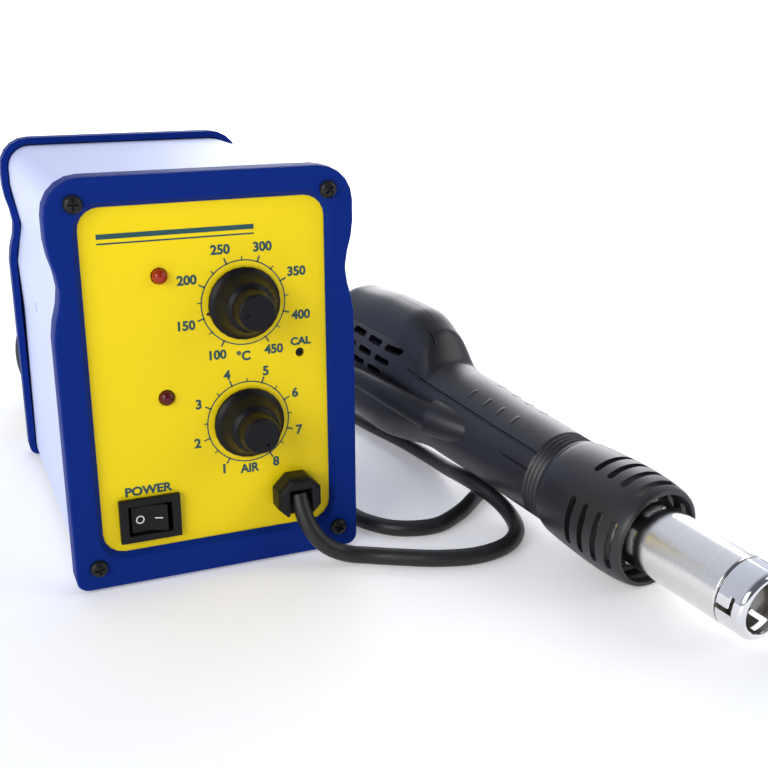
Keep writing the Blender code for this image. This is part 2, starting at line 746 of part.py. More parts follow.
def board_corners():
    """Where the circuit board stands on the tray's posts."""
    width, depth, thick = BOARD_SIZE
    reach_x, reach_y = width / 2 - 0.005, depth / 2 - 0.005
    return [(hand * reach_x, BOARD_Y + end * reach_y) for hand in (-1, 1) for end in (-1, 1)]


def make_feet(look):
    """Four rubber feet under the tray."""
    x = CASE_WIDTH / 2 - FOOT_INSET_X
    places = [(hand * x, y) for y in (FOOT_INSET_Y, CASE_DEPTH - FOOT_INSET_Y) for hand in (-1, 1)]
    profile = [(0, FOOT_HEIGHT), (FOOT_RADIUS, FOOT_HEIGHT), (FOOT_RADIUS - 0.0008, 0), (0, 0)]
    for number, (px, py) in enumerate(places, 1):
        turned(f"rubber_foot_{number}", profile, look, 16, location=(px, py, 0))


def screw_profile(head_radius, head_height, radius, length):
    """A pan head screw, head at the top, seen from its side."""
    return [(0, head_height), (head_radius * 0.6, head_height * 0.94), (head_radius * 0.9, head_height * 0.6),
            (head_radius, 0), (radius, 0), (radius, -length), (0, -length - radius * 0.6)]


def make_case_screws(side, look):
    """The four screws of one bezel."""
    outline = screw_profile(SCREW_HEAD_RADIUS, SCREW_HEAD_HEIGHT, SCREW_RADIUS, SCREW_LENGTH)
    turn = (pi / 2 * FACING[side], 0, 0)
    seat = along(side, -GAP)
    for number, (x, z) in enumerate(screw_places(), 1):
        turned(f"{side}_bezel_screw_{number}", outline, look, 10, location=(x, seat, z), rotation=turn)


def knob_profile():
    """A skirted dial: a flat skirt, a flared waist and a narrow cap, hollow for the nut and shaft."""
    base = KNOB_CLEARANCE
    return [
        (0, KNOB_HEIGHT), (KNOB_CAP_RADIUS - 0.0010, KNOB_HEIGHT), (KNOB_CAP_RADIUS - 0.0003, KNOB_HEIGHT - 0.0004),
        (KNOB_CAP_RADIUS, KNOB_HEIGHT - 0.0012), (KNOB_CAP_RADIUS + 0.0004, 0.0102),
        (KNOB_WAIST_RADIUS - 0.0006, 0.0094), (KNOB_WAIST_RADIUS, 0.0084),
        (KNOB_WAIST_RADIUS + 0.0014, 0.0042), (KNOB_SKIRT_RADIUS - 0.0012, base + 0.0022),
        (KNOB_SKIRT_RADIUS - 0.0002, base + 0.0015), (KNOB_SKIRT_RADIUS, base + 0.0008),
        (KNOB_SKIRT_RADIUS - 0.0002, base), (BUSH_RADIUS + 0.0035, base), (BUSH_RADIUS + 0.0032, base + 0.0032),
        (SHAFT_RADIUS + GAP, base + 0.0032), (SHAFT_RADIUS + GAP, KNOB_HEIGHT - 0.0022), (0, KNOB_HEIGHT - 0.0022),
    ]


def dial_angle(setting):
    """The pointer's direction in X and Z at a setting, counted clockwise from the scale's start."""
    return radians(240.0 - setting)


def make_dial(name, height, setting, looks):
    """A knob, the potentiometer behind the panel and the shaft between them."""
    turn = (pi / 2, 0, 0)
    place = (KNOB_X, PANEL_FRONT, height)
    knob = turned(name + "_knob", knob_profile(), looks["knob"], 24, location=place, rotation=turn)
    angle = dial_angle(setting)
    reach = KNOB_SKIRT_RADIUS + 0.0009
    tick = rod_mesh("tick", (KNOB_SKIRT_RADIUS * 0.80 * cos(angle), KNOB_SKIRT_RADIUS * 0.80 * sin(angle), 0.0016),
                    (reach * cos(angle), reach * sin(angle), 0.0016), 0.0010, 6, 0.0004)
    dent_at = KNOB_CAP_RADIUS * 0.55
    dent = rod_mesh("dent", (dent_at * cos(angle), dent_at * sin(angle), KNOB_HEIGHT + 0.001),
                    (dent_at * cos(angle), dent_at * sin(angle), KNOB_HEIGHT - 0.0006), 0.0007, 8)
    boolean(knob, "UNION", new_object(name + "_tick", tick, location=place, rotation=turn))
    boolean(knob, "DIFFERENCE", new_object(name + "_dent", dent, location=place, rotation=turn))
    back = -PANEL_THICKNESS - GAP
    bore = SHAFT_RADIUS + GAP
    pot_outline = [(bore, 0.0024), (BUSH_RADIUS, 0.0024), (BUSH_RADIUS, back), (POT_RADIUS, back),
                   (POT_RADIUS, back - POT_DEPTH), (bore, back - POT_DEPTH)]
    pot = turned(name + "_potentiometer", pot_outline, looks["steel"], 20, ring=True, location=place, rotation=turn)
    nut = [(bore + 0.0003, 0.0018), (NUT_RADIUS, 0.0018), (NUT_RADIUS, GAP), (bore + 0.0003, GAP)]
    boolean(pot, "UNION", turned(name + "_nut", nut, None, 6, ring=True, location=place, rotation=turn))
    shaft_outline = [(0, KNOB_HEIGHT - 0.0022 - GAP), (SHAFT_RADIUS, KNOB_HEIGHT - 0.0022 - GAP),
                     (SHAFT_RADIUS, back - POT_DEPTH + 0.0010), (0, back - POT_DEPTH + 0.0010)]
    turned(name + "_shaft", shaft_outline, looks["steel"], location=place, rotation=turn, steps=20)

def make_dials(looks):
    """Both dials, with what holds and carries them."""
    make_dial("temperature", TEMPERATURE_Z, TEMPERATURE_SETTING, looks)
    make_dial("air", AIR_Z, AIR_SETTING, looks)


def make_lamp(name, height, proud, look):
    """A round lamp: a domed lens through the panel with its collar behind."""
    collar = -PANEL_THICKNESS - GAP
    profile = [(0, proud), (LAMP_RADIUS * 0.5, proud - 0.0003), (LAMP_RADIUS * 0.86, proud - 0.0010),
               (LAMP_RADIUS, proud - 0.0022), (LAMP_RADIUS, collar), (LAMP_RADIUS + 0.0006, collar),
               (LAMP_RADIUS + 0.0006, collar - 0.0012), (LAMP_RADIUS, collar - 0.0012),
               (LAMP_RADIUS, collar - 0.0040), (0, collar - 0.0040)]
    turned(name, profile, look, 16, location=(LAMP_X, PANEL_FRONT, height), rotation=(pi / 2, 0, 0))


def make_trimmer(looks):
    """The calibration trimmer behind its hole, and the slotted screw that turns in it."""
    place = (CAL_X, PANEL_FRONT, CAL_Z)
    turn = (pi / 2, 0, 0)
    back = -PANEL_THICKNESS - GAP
    bore = CAL_HOLE_RADIUS - GAP
    body = [(bore + GAP, back), (0.0034, back), (0.0034, back - 0.0045), (bore + GAP, back - 0.0045)]
    turned("calibration_trimmer", body, looks["board_part"], 12, ring=True, location=place, rotation=turn)
    screw = turned("calibration_screw", [(0, -0.0006), (bore, -0.0006), (bore, back - 0.0040), (0, back - 0.0040)],
                   looks["brass"], 16, location=place, rotation=turn)
    slot = box_mesh("slot", (-0.002, -0.0002, -0.0012), (0.002, 0.0002, 0.001))
    boolean(screw, "DIFFERENCE", new_object("calibration_slot", slot, location=place, rotation=turn))


def make_switch(looks):
    """The rocker switch: a rim on the panel, a body behind it and the tilting rocker."""
    width, height = SWITCH_SIZE
    body_width, body_height, body_depth = SWITCH_BODY
    front, back = PANEL_FRONT - GAP - SWITCH_RIM, PANEL_FRONT + body_depth
    low, high = PANEL_FRONT - GAP - SWITCH_RIM, PANEL_FRONT - GAP
    rim = box_mesh("rim", (SWITCH_X - width / 2, low, SWITCH_Z - height / 2),
                   (SWITCH_X + width / 2, high, SWITCH_Z + height / 2))
    housing = new_object("switch_housing", rim, looks["black"])
    body = box_mesh("body", (SWITCH_X - body_width / 2, front + SWITCH_RIM / 2, SWITCH_Z - body_height / 2),
                    (SWITCH_X + body_width / 2, back, SWITCH_Z + body_height / 2))
    window_width, window_height = SWITCH_WINDOW
    well = box_mesh("well", (SWITCH_X - window_width / 2, front - 0.002, SWITCH_Z - window_height / 2),
                    (SWITCH_X + window_width / 2, PANEL_FRONT + 0.008, SWITCH_Z + window_height / 2))
    boolean(housing, "UNION", new_object("switch_body", body))
    boolean(housing, "DIFFERENCE", new_object("switch_well", well))
    half = window_width / 2 - ROCKER_CLEARANCE
    side = [(-half, -0.0032), (0, -0.0019), (half, -0.0032), (half - 0.0006, 0.0020), (0, 0.0036), (-half + 0.0006, 0.0020)]
    tall = window_height / 2 - GAP
    loops = [[(x, y, z) for x, y in side] for z in (-tall, tall)]
    rocker = new_object("power_rocker", lofted("power_rocker", loops), looks["black"],
                        location=(SWITCH_X, PANEL_FRONT + 0.0010, SWITCH_Z),
                        rotation=(0, 0, radians(-ROCKER_TILT)))
    edge = rocker.modifiers.new("edges", "BEVEL")
    edge.width = 0.0004
    edge.segments = 1


def make_front_gland(looks):
    """The octagonal strain relief that lets the handpiece's lead down out of the panel, and its nut."""
    half = GLAND_HEAD / 2
    face = [(half / cos(pi / 8) * cos(pi / 8 + k * pi / 4), half / cos(pi / 8) * sin(pi / 8 + k * pi / 4))
            for k in range(8)]
    top = GLAND_PROUD
    loops = [[(x * s, y * s, h) for x, y in face] for s, h in
             ((0.98, GAP), (1.0, 0.0008), (1.0, top * 0.70), (0.95, top * 0.86), (0.84, top))]
    place = (GLAND_X, PANEL_FRONT, GLAND_Z)
    turn = (pi / 2, 0, 0)
    gland = new_object("lead_gland", lofted("lead_gland", loops), looks["black"], location=place, rotation=turn)
    shank = rod_mesh("shank", (0, 0, -0.012), (0, 0, 0.004), GLAND_SHANK_RADIUS)
    boolean(gland, "UNION", new_object("gland_shank", shank, location=place, rotation=turn))
    mouth = box_mesh("mouth", (-GLAND_WINDOW / 2, -half - 0.002, 0.0018), (GLAND_WINDOW / 2, 0.0036, top + 0.002))
    boolean(gland, "DIFFERENCE", new_object("gland_mouth", mouth, location=place, rotation=turn))
    back = -PANEL_THICKNESS - GAP
    bore = (GLAND_SHANK_RADIUS + GAP) / cos(pi / 6)
    outside = bore + 0.0020
    nut = [(bore, back), (outside, back), (outside, back - 0.0040), (bore, back - 0.0040)]
    turned("gland_nut", nut, looks["black"], 6, ring=True, location=place, rotation=turn)


def make_rear_fittings(looks):
    """The mains boot and the fuse holder on the rear panel."""
    face = CASE_DEPTH - PANEL_FRONT
    back = -PANEL_THICKNESS
    boot = [(MAINS_RADIUS + 0.0010, 0.0240), (MAINS_RADIUS + 0.0016, 0.0100), (MAINS_BOOT_RADIUS + 0.0006, 0.0026),
            (MAINS_BOOT_RADIUS + 0.0013, 0.0024), (MAINS_BOOT_RADIUS + 0.0013, GAP), (MAINS_BOOT_RADIUS, GAP),
            (MAINS_BOOT_RADIUS, back - GAP), (MAINS_BOOT_RADIUS + 0.0012, back - GAP),
            (MAINS_BOOT_RADIUS, back - 0.0060), (MAINS_RADIUS - 0.0010, back - 0.0060), (MAINS_RADIUS - 0.0010, 0.0240)]
    turned("mains_boot", boot, looks["rubber"], 20, ring=True, location=(MAINS_X, face, MAINS_Z),
           rotation=(-pi / 2, 0, 0))
    neck = FUSE_RADIUS - 0.0010
    holder = [(0, 0.0092), (FUSE_RADIUS - 0.0016, 0.0092), (FUSE_RADIUS - 0.0004, 0.0078), (FUSE_RADIUS, 0.0022),
              (FUSE_RADIUS + 0.0020, 0.0020), (FUSE_RADIUS + 0.0020, GAP), (neck, GAP), (neck, -0.0240),
              (neck - 0.0015, -0.0280), (0, -0.0280)]
    turned("fuse_holder", holder, looks["black"], 20, location=(FUSE_X, face, FUSE_Z), rotation=(-pi / 2, 0, 0))


def make_board(looks):
    """The circuit board with what is soldered to it: relay, chip, socket, capacitors and heat sink."""
    width, depth, thick = BOARD_SIZE
    low = TRAY_LOW + TRAY_THICKNESS + STANDOFF_HEIGHT + GAP
    front = BOARD_Y - depth / 2
    board = new_object("circuit_board", box_mesh("circuit_board", (-width / 2, front, low),
                                                 (width / 2, front + depth, low + thick)), looks["board"])
    seat = low + thick / 2
    top = low + thick
    edge = width / 2 - BOARD_EDGE
    chip = width * 0.1316
    near, middle, far = front + depth * 0.12, front + depth * 0.34, front + depth * 0.62
    parts = [
        box_mesh("relay", (-edge, near, seat), (RELAY_SIZE[0] - edge, middle, top + RELAY_SIZE[1])),
        box_mesh("chip", (-chip, near + 0.002, seat), (chip, middle, top + 0.0035)),
        box_mesh("socket", (edge - RELAY_SIZE[0], near, seat), (edge, near + 0.006, top + 0.009)),
    ]
    parts += [rod_mesh("capacitor", (x - edge, far, seat), (x - edge, far, top + CAPACITOR_SIZE[1]), CAPACITOR_SIZE[0], 14)
              for x in (0.008, 0.024)]
    fins = 6
    pitch = 0.0035
    fin = 0.0012
    left, near = 0.010, front + depth * 0.5172
    comb = [(left, near)]
    for k in range(fins):
        start = left + k * pitch
        comb += [(start, near + 0.016), (start + fin, near + 0.016)]
        if k < fins - 1:
            comb += [(start + fin, near + 0.003), (start + pitch, near + 0.003)]
    comb.append((left + (fins - 1) * pitch + fin, near))
    parts.append(lofted("heat_sink", [[(x, y, z) for x, y in comb] for z in (seat, top + 0.022)]))
    boolean(board, "UNION", new_object("board_parts", joined_mesh("board_parts", parts)))


def make_transformer(looks):
    """The mains transformer: a windowed core, the winding round its middle leg and the strap over it."""
    width, depth, height = CORE_SIZE
    floor = TRAY_LOW + TRAY_THICKNESS + GAP
    window = (width - 2 * CORE_LEG) / 2 - CORE_LEG / 2
    middle_z = floor + height / 2
    hole_x = CORE_LEG / 2 + window / 2
    holes = [rectangle(TRANSFORMER_X + hand * hole_x, middle_z, window, height - 2 * CORE_YOKE) for hand in (-1, 1)]
    outline = rectangle(TRANSFORMER_X, middle_z, width, height)
    plate("transformer_core", outline, holes, TRANSFORMER_Y - depth / 2, TRANSFORMER_Y + depth / 2, looks["core"])
    turn_height = height - 2 * CORE_YOKE - 2 * GAP
    inner = (CORE_LEG / 2 + GAP, depth / 2 + GAP)
    outer = (CORE_LEG / 2 + window - GAP, depth / 2 + WINDING_SPREAD)
    rings = []
    for half, z in ((outer, -1), (outer, 1), (inner, 1), (inner, -1)):
        level = middle_z + z * turn_height / 2
        rings.append([(TRANSFORMER_X + sx * half[0], TRANSFORMER_Y + sy * half[1], level)
                      for sx, sy in ((-1, -1), (1, -1), (1, 1), (-1, 1))])
    new_object("transformer_winding", lofted("transformer_winding", rings, ring=True), looks["winding"])
    side = width / 2 + GAP
    crown = floor + height + GAP
    sheet = 0.0012
    foot = STRAP_FOOT
    strap = [(-side - foot, floor), (-side, floor), (-side, crown), (side, crown), (side, floor), (side + foot, floor),
             (side + foot, floor + sheet), (side + sheet, floor + sheet), (side + sheet, crown + sheet),
             (-side - sheet, crown + sheet), (-side - sheet, floor + sheet), (-side - foot, floor + sheet)]
    loops = [[(TRANSFORMER_X + x, y, z) for x, z in strap] for y in
             (TRANSFORMER_Y - depth / 2 + 0.003, TRANSFORMER_Y + depth / 2 - 0.003)]
    frame = new_object("transformer_strap", lofted("transformer_strap", loops), looks["steel"])
    heads = [rod_mesh("head", (TRANSFORMER_X + hand * (side + foot - 0.0035), TRANSFORMER_Y, floor + sheet / 2),
                      (TRANSFORMER_X + hand * (side + foot - 0.0035), TRANSFORMER_Y, floor + sheet + 0.0016), 0.0026, 12)
             for hand in (-1, 1)]
    boolean(frame, "UNION", new_object("strap_heads", joined_mesh("strap_heads", heads)))


def blend(value, stops):
    """Read a smooth curve through (place, value) stops."""
    if value <= stops[0][0]:
        return stops[0][1]
    for (a, first), (b, second) in zip(stops, stops[1:]):
        if value <= b:
            share = (value - a) / (b - a)
            share = share * share * (3 - 2 * share)
            return first + (second - first) * share
    return stops[-1][1]


HANDLE_TOP = ((0.041, 0.0176), (0.070, 0.0181), (0.110, 0.0195), (0.120, 0.0200), (0.142, 0.0270), (0.188, 0.0262))
HANDLE_BOTTOM = ((0.041, 0.0164), (0.080, 0.0164), (0.112, 0.0166), (0.150, 0.0215), (0.190, 0.0210))
HANDLE_SIDE = ((0.041, 0.0170), (0.080, 0.0173), (0.112, 0.0182), (0.145, 0.0210), (0.185, 0.0206))
HANDLE_SQUARE = ((0.110, 1.0), (0.150, 0.70))
HUMP_HEIGHT = ((0.118, 0.0), (0.128, 0.0100), (0.160, 0.0100), (0.186, 0.0078), (0.199, 0.0020))
HUMP_HALF_WIDTH = 0.0134
END_ROUND = 0.014
SECTION_POINTS = 10


def end_share(s):
    """How much the tail's section has closed in towards its rounded end."""
    past = (s - (HANDLE_END - END_ROUND)) / END_ROUND
    return 1.0 if past <= 0 else 0.50 + 0.50 * max(1 - past * past, 0.0) ** 0.5


def handle_section(s, inset):
    """The handle's section at a distance back from the mouth, moved in by a wall."""
    close = end_share(s)
    top = blend(s, HANDLE_TOP) * close - inset
    bottom = blend(s, HANDLE_BOTTOM) * close - inset
    side = blend(s, HANDLE_SIDE) * close - inset
    square = blend(s, HANDLE_SQUARE)
    hump = blend(s, HUMP_HEIGHT)
    half = []
    for k in range(SECTION_POINTS + 1):
        angle = -pi / 2 + pi * k / SECTION_POINTS
        x = side * abs(cos(angle)) ** square
        z = (top if angle > 0 else bottom) * abs(sin(angle)) ** square * (1 if angle > 0 else -1)
        if angle > 0:
            reach = min(abs(x) / (HUMP_HALF_WIDTH - inset), 1.0)
            z += hump * (1 - reach * reach) ** 0.5
        half.append((x, z))
    loop = half + [(-x, z) for x, z in reversed(half[1:-1])]
    return [(x, s, z) for x, z in loop]


def round_section(s, radius):
    """A round section with as many points as the handle's."""
    count = 2 * SECTION_POINTS
    return [(radius * cos(-pi / 2 + 2 * pi * k / count), s, radius * sin(-pi / 2 + 2 * pi * k / count))
            for k in range(count)]


def handle_stations():
    """Where the handle's sections are taken."""
    grip = [GUARD_LENGTH + GAP, 0.050, 0.070, 0.090, 0.110, 0.116]
    tail = [0.120, 0.124, 0.128, 0.135, 0.142, 0.152, 0.163, 0.174, 0.183]
    close = [HANDLE_END - END_ROUND * share for share in (1.0, 0.72, 0.45, 0.22, 0.06, 0.0)]
    return grip + tail + [s for s in close if s > tail[-1]]


def handle_solid():
    """The handle's outer form, with the spigot that the guard pushes onto."""
    start = GUARD_LENGTH - SPIGOT_LENGTH
    loops = [round_section(start, SPIGOT_RADIUS), round_section(GUARD_LENGTH + GAP, SPIGOT_RADIUS)]
    loops += [handle_section(s, 0.0) for s in handle_stations()]
    return lofted("handle", loops)


def handle_hollow():
    """The space inside the handle, open at the spigot."""
    start = GUARD_LENGTH - SPIGOT_LENGTH - 0.002
    loops = [round_section(start, SPIGOT_RADIUS - HANDLE_WALL), round_section(GUARD_LENGTH + 0.003, SPIGOT_RADIUS - HANDLE_WALL)]
    stations = [s for s in handle_stations()[1:] if s < HANDLE_END - HANDLE_WALL - 0.001]
    loops += [handle_section(s, HANDLE_WALL) for s in stations]
    loops.append(handle_section(HANDLE_END - HANDLE_WALL, HANDLE_WALL))
    return lofted("hollow", loops)


def handle_vents():
    """Cutters for the slanted rows of air slots in both sides of the tail."""
    length, height = (size / 2 for size in SIDE_VENT_SIZE)
    slots = []
    for row in range(VENT_ROWS):
        for column in range(VENT_COLUMNS):
            s = SIDE_VENT_FIRST[0] + column * SIDE_VENT_PITCH[0] + row * SIDE_VENT_SHIFT
            z = SIDE_VENT_FIRST[1] - row * SIDE_VENT_PITCH[1]
            for hand in (-1, 1):
                ends = sorted((hand * 0.0087, hand * 0.027))
                slots.append(box_mesh("vent", (ends[0], s - length, z - height), (ends[1], s + length, z + height)))
    return joined_mesh("vents", slots)


def handle_grooves():
    """Cutters for the long grooves along both shoulders of the grip."""
    grooves = []
    for hand in (-1, 1):
        angle = radians(GROOVE_ANGLE)
        radius = 0.0187
        middle = Vector((hand * radius * cos(angle), 0, radius * sin(angle)))
        shape = box_mesh("groove", (-GROOVE_DEPTH, GROOVE_START, -GROOVE_WIDTH / 2),
                         (0.003, GROOVE_END, GROOVE_WIDTH / 2))
        turn = Matrix.Rotation(-angle if hand > 0 else angle - pi, 4, "Y")
        shape.transform(Matrix.Translation(middle) @ turn)
        grooves.append(shape)
    return joined_mesh("grooves", grooves)


HANDLE_SCREWS = ((0.066, -0.0085), (0.122, -0.0090), (0.188, -0.0060))
HANDLE_SCREW_SINK = 0.0034
HANDLE_SCREW_GRIP = 0.008
POST_RADIUS = 0.0036
PAD_RADIUS = 0.0026
HANDLE_SINK_RADIUS = 0.0026
BLOWER_PADS = ((-0.0135, -0.010), (0.0135, -0.010), (0.0, -0.0165))
BOSS_START = (-0.0085, 0.068, 0.0030)
BOSS_END = (-0.0180, 0.106, 0.0050)
BOSS_RADII = (0.0062, 0.0076)


def in_handpiece(name, mesh, look=None, **place):
    """Put a mesh in the handpiece's own axes."""
    return new_object(name, mesh, look, HANDPIECE, **place)


def wall_at(y, z):
    """How far out the handle's side stands at a distance back and a height."""
    square = blend(y, HANDLE_SQUARE)
    height = blend(y, HANDLE_TOP if z > 0 else HANDLE_BOTTOM)
    share = min(abs(z) / height, 1.0) ** (2 / square)
    return blend(y, HANDLE_SIDE) * (1 - share) ** (square / 2)


def handle_posts(hand):
    """The screw posts and the pads that hold the blower, on one half."""
    posts = []
    for y, z in HANDLE_SCREWS:
        reach = wall_at(y, z) - HANDLE_WALL / 2
        posts.append(rod_mesh("post", (-hand * 0.001, y, z), (hand * reach, y, z), POST_RADIUS, 12))
    for offset, rise in BLOWER_PADS:
        y, z = BLOWER_Y + offset, BLOWER_Z + rise
        reach = wall_at(y, z) - HANDLE_WALL / 2
        posts.append(rod_mesh("pad", (hand * (BLOWER_HALF_WIDTH + GAP), y, z), (hand * reach, y, z), PAD_RADIUS, 12))
    return joined_mesh("handle_posts", posts)


def handle_drills(hand):
    """Screw holes: through the right half with sunk heads, and blind into the left half's posts."""
    drills = []
    for y, z in HANDLE_SCREWS:
        wall = wall_at(y, z)
        if hand < 0:
            drills.append(rod_mesh("drill", (-HANDLE_SCREW_GRIP, y, z), (0.001, y, z), 0.0013, 10))
            continue
        drills.append(rod_mesh("drill", (-0.001, y, z), (wall, y, z), 0.0013, 10))
        drills.append(rod_mesh("sink", (wall - HANDLE_SCREW_SINK, y, z), (wall + 0.004, y, z), HANDLE_SINK_RADIUS, 12))
    return [in_handpiece("handle_drill", drill) for drill in drills]


def make_handle(looks):
    """The two halves of the handle, cut from one hollow form along its middle, with their posts."""
    boot_mesh = baked(boot_tube("boot_hole", GAP))
    for hand, name in ((-1, "left_handle_shell"), (1, "right_handle_shell")):
        shell = in_handpiece(name, handle_solid(), looks["handle"])
        if hand < 0:
            boss = rod_mesh("boss", BOSS_START, BOSS_END, BOSS_RADII[0], 20, BOSS_RADII[1])
            boolean(shell, "UNION", in_handpiece("boot_boss", boss))
        boolean(shell, "DIFFERENCE", in_handpiece("handle_hollow", handle_hollow()))
        boolean(shell, "UNION", in_handpiece("handle_posts", handle_posts(hand)))
        boolean(shell, "DIFFERENCE", in_handpiece("handle_vents", handle_vents()),
                in_handpiece("handle_grooves", handle_grooves()))
        if hand < 0:
            boolean(shell, "DIFFERENCE", in_handpiece("boot_hole", boot_mesh))
        far = 0.06
        half = box_mesh("half", (-SEAM if hand < 0 else -far, -far, -far), (far if hand < 0 else SEAM, 0.3, far))
        boolean(shell, "DIFFERENCE", in_handpiece("handle_half", half), *handle_drills(hand))


def make_handle_screws(looks):
    """The three screws that draw the halves together from the right."""
    for number, (y, z) in enumerate(HANDLE_SCREWS, 1):
        seat = wall_at(y, z) - HANDLE_SCREW_SINK + GAP
        outline = screw_profile(0.0022, 0.0016, 0.0010, seat + HANDLE_SCREW_GRIP - 0.0016)
        turned(f"handle_screw_{number}", outline, looks["steel"], 12, parent=HANDPIECE,
               rotation=(0, pi / 2, 0), location=(seat, y, z))


def boot_tube(name, spread, look=None):
    """The lead's boot, or with a spread the hole that it leaves the handle by."""
    points = [(-left, back, up) for back, left, up, thick in BOOT_PATH]
    radii = [thick + spread for back, left, up, thick in BOOT_PATH]
    return tube(name, points, radii[0], look, radii, fineness=3, parent=HANDPIECE)


def guard_profile():
    """The guard's section: a bulged sleeve with a rolled lip, thicker where it grips the spigot."""
    outer = [(0.0, -0.0006), (0.0008, -0.0001), (0.0040, 0.0006), (0.0090, 1.0 * GUARD_BULGE - 0.0002),
             (0.0140, GUARD_BULGE), (0.0190, GUARD_BULGE), (0.0250, GUARD_BULGE - 0.0002),
             (0.0330, GUARD_BULGE - 0.0006), (0.0390, 0.0003), (GUARD_LENGTH, -0.0002)]
    points = [(GUARD_MOUTH_RADIUS + grow, s) for s, grow in reversed(outer)]
    inner = [(GUARD_MOUTH_RADIUS - GUARD_WALL + 0.0004, 0.0), (GUARD_MOUTH_RADIUS - GUARD_WALL, 0.0008),
             (GUARD_MOUTH_RADIUS - GUARD_WALL + 0.0008, 0.0080),
             (GUARD_MOUTH_RADIUS - GUARD_WALL + 0.0010, GUARD_LENGTH - GUARD_SEAT - 0.0025),
             (SPIGOT_RADIUS + GAP, GUARD_LENGTH - GUARD_SEAT), (SPIGOT_RADIUS + GAP, GUARD_LENGTH)]
    return points + inner


def slot_cutter(start, middle_angle):
    """A curved slot through the guard's wall: a slice of a ring with rounded ends."""
    inner, outer = GUARD_MOUTH_RADIUS - 0.006, GUARD_MOUTH_RADIUS + 0.004
    half_width = SLOT_WIDTH / 2
    half_span = radians(SLOT_SPAN / 2)
    loops = []
    count = 5
    for k in range(count):
        share = -1 + 2 * k / (count - 1)
        angle = middle_angle + half_span * share
        pinch = half_width * (0.45 if abs(share) == 1 else 1.0)
        loops.append([(r * cos(angle), start + side * pinch, r * sin(angle))
                      for r, side in ((inner, -1), (outer, -1), (outer, 1), (inner, 1))])
    return lofted("slot", loops)


def make_guard(looks):
    """The slotted guard round the barrel's root: rows of long slots in groups round the sleeve."""
    guard = turned("barrel_guard", guard_profile(), looks["guard"], 32, ring=True, parent=HANDPIECE,
                   rotation=(-pi / 2, 0, 0))
    slots = [slot_cutter(SLOT_FIRST + row * SLOT_PITCH, 2 * pi * group / SLOT_GROUPS)
             for row in range(SLOT_ROWS) for group in range(SLOT_GROUPS)]
    boolean(guard, "DIFFERENCE", in_handpiece("guard_slots", joined_mesh("guard_slots", slots)))


def make_barrel(looks):
    """The steel barrel, stepped inside the guard and flanged against the spigot, and its end collar."""
    back = GUARD_LENGTH - SPIGOT_LENGTH - GAP
    bore = BARREL_RADIUS - BARREL_WALL
    step_bore = BARREL_STEP_RADIUS - BARREL_WALL
    barrel = [(SPIGOT_RADIUS - 0.0004, back), (SPIGOT_RADIUS - 0.0004, back - 0.0012), (BARREL_STEP_RADIUS, back - 0.0012),
              (BARREL_STEP_RADIUS, BARREL_STEP + 0.0012), (BARREL_STEP_RADIUS - 0.0004, BARREL_STEP + 0.0003),
              (BARREL_RADIUS, BARREL_STEP - 0.0008), (BARREL_RADIUS, -BARREL_REACH + 0.0004),
              (BARREL_RADIUS - 0.0003, -BARREL_REACH), (bore, -BARREL_REACH), (bore, BARREL_STEP - 0.0004),
              (step_bore, BARREL_STEP + 0.0010), (step_bore, back)]
    turn = (-pi / 2, 0, 0)
    turned("barrel", barrel, looks["steel"], 24, ring=True, parent=HANDPIECE, rotation=turn)
    start = -BARREL_REACH - 0.0006
    end = start - COLLAR_LENGTH + 0.0006
    tongue = bore - GAP
    collar = [(tongue, start + COLLAR_TONGUE), (tongue, start), (COLLAR_RADIUS, start), (COLLAR_RADIUS, end + 0.0016),
              (COLLAR_RADIUS - 0.0003, end + 0.0007), (COLLAR_RADIUS - 0.0009, end + 0.0002), (COLLAR_RADIUS - 0.0016, end),
              (COLLAR_MOUTH_RADIUS + 0.0004, end + 0.0001), (COLLAR_MOUTH_RADIUS, end + 0.0007),
              (COLLAR_MOUTH_RADIUS + 0.0005, end + 0.0014), (COLLAR_RADIUS - 0.0008, end + 0.0020),
              (COLLAR_RADIUS - 0.0008, start - 0.0006), (tongue - 0.0006, start + 0.0002),
              (tongue - 0.0006, start + COLLAR_TONGUE)]
    ring = turned("nozzle_collar", collar, looks["chrome"], 24, ring=True, parent=HANDPIECE, rotation=turn)
    notches = []
    for k in range(3):
        turn_k = Matrix.Rotation(radians(146 + 120 * k), 4, "Y")
        long_cut = box_mesh("notch", (-0.0009, start - 0.0062, 0.0095), (0.0009, start + 0.001, 0.014))
        side_cut = box_mesh("notch", (0.0005, start - 0.0062, 0.0095), (0.0050, start - 0.0044, 0.014))
        for piece in (long_cut, side_cut):
            piece.transform(turn_k)
            notches.append(in_handpiece("collar_notch", piece))
    boolean(ring, "DIFFERENCE", *notches)
    return bore


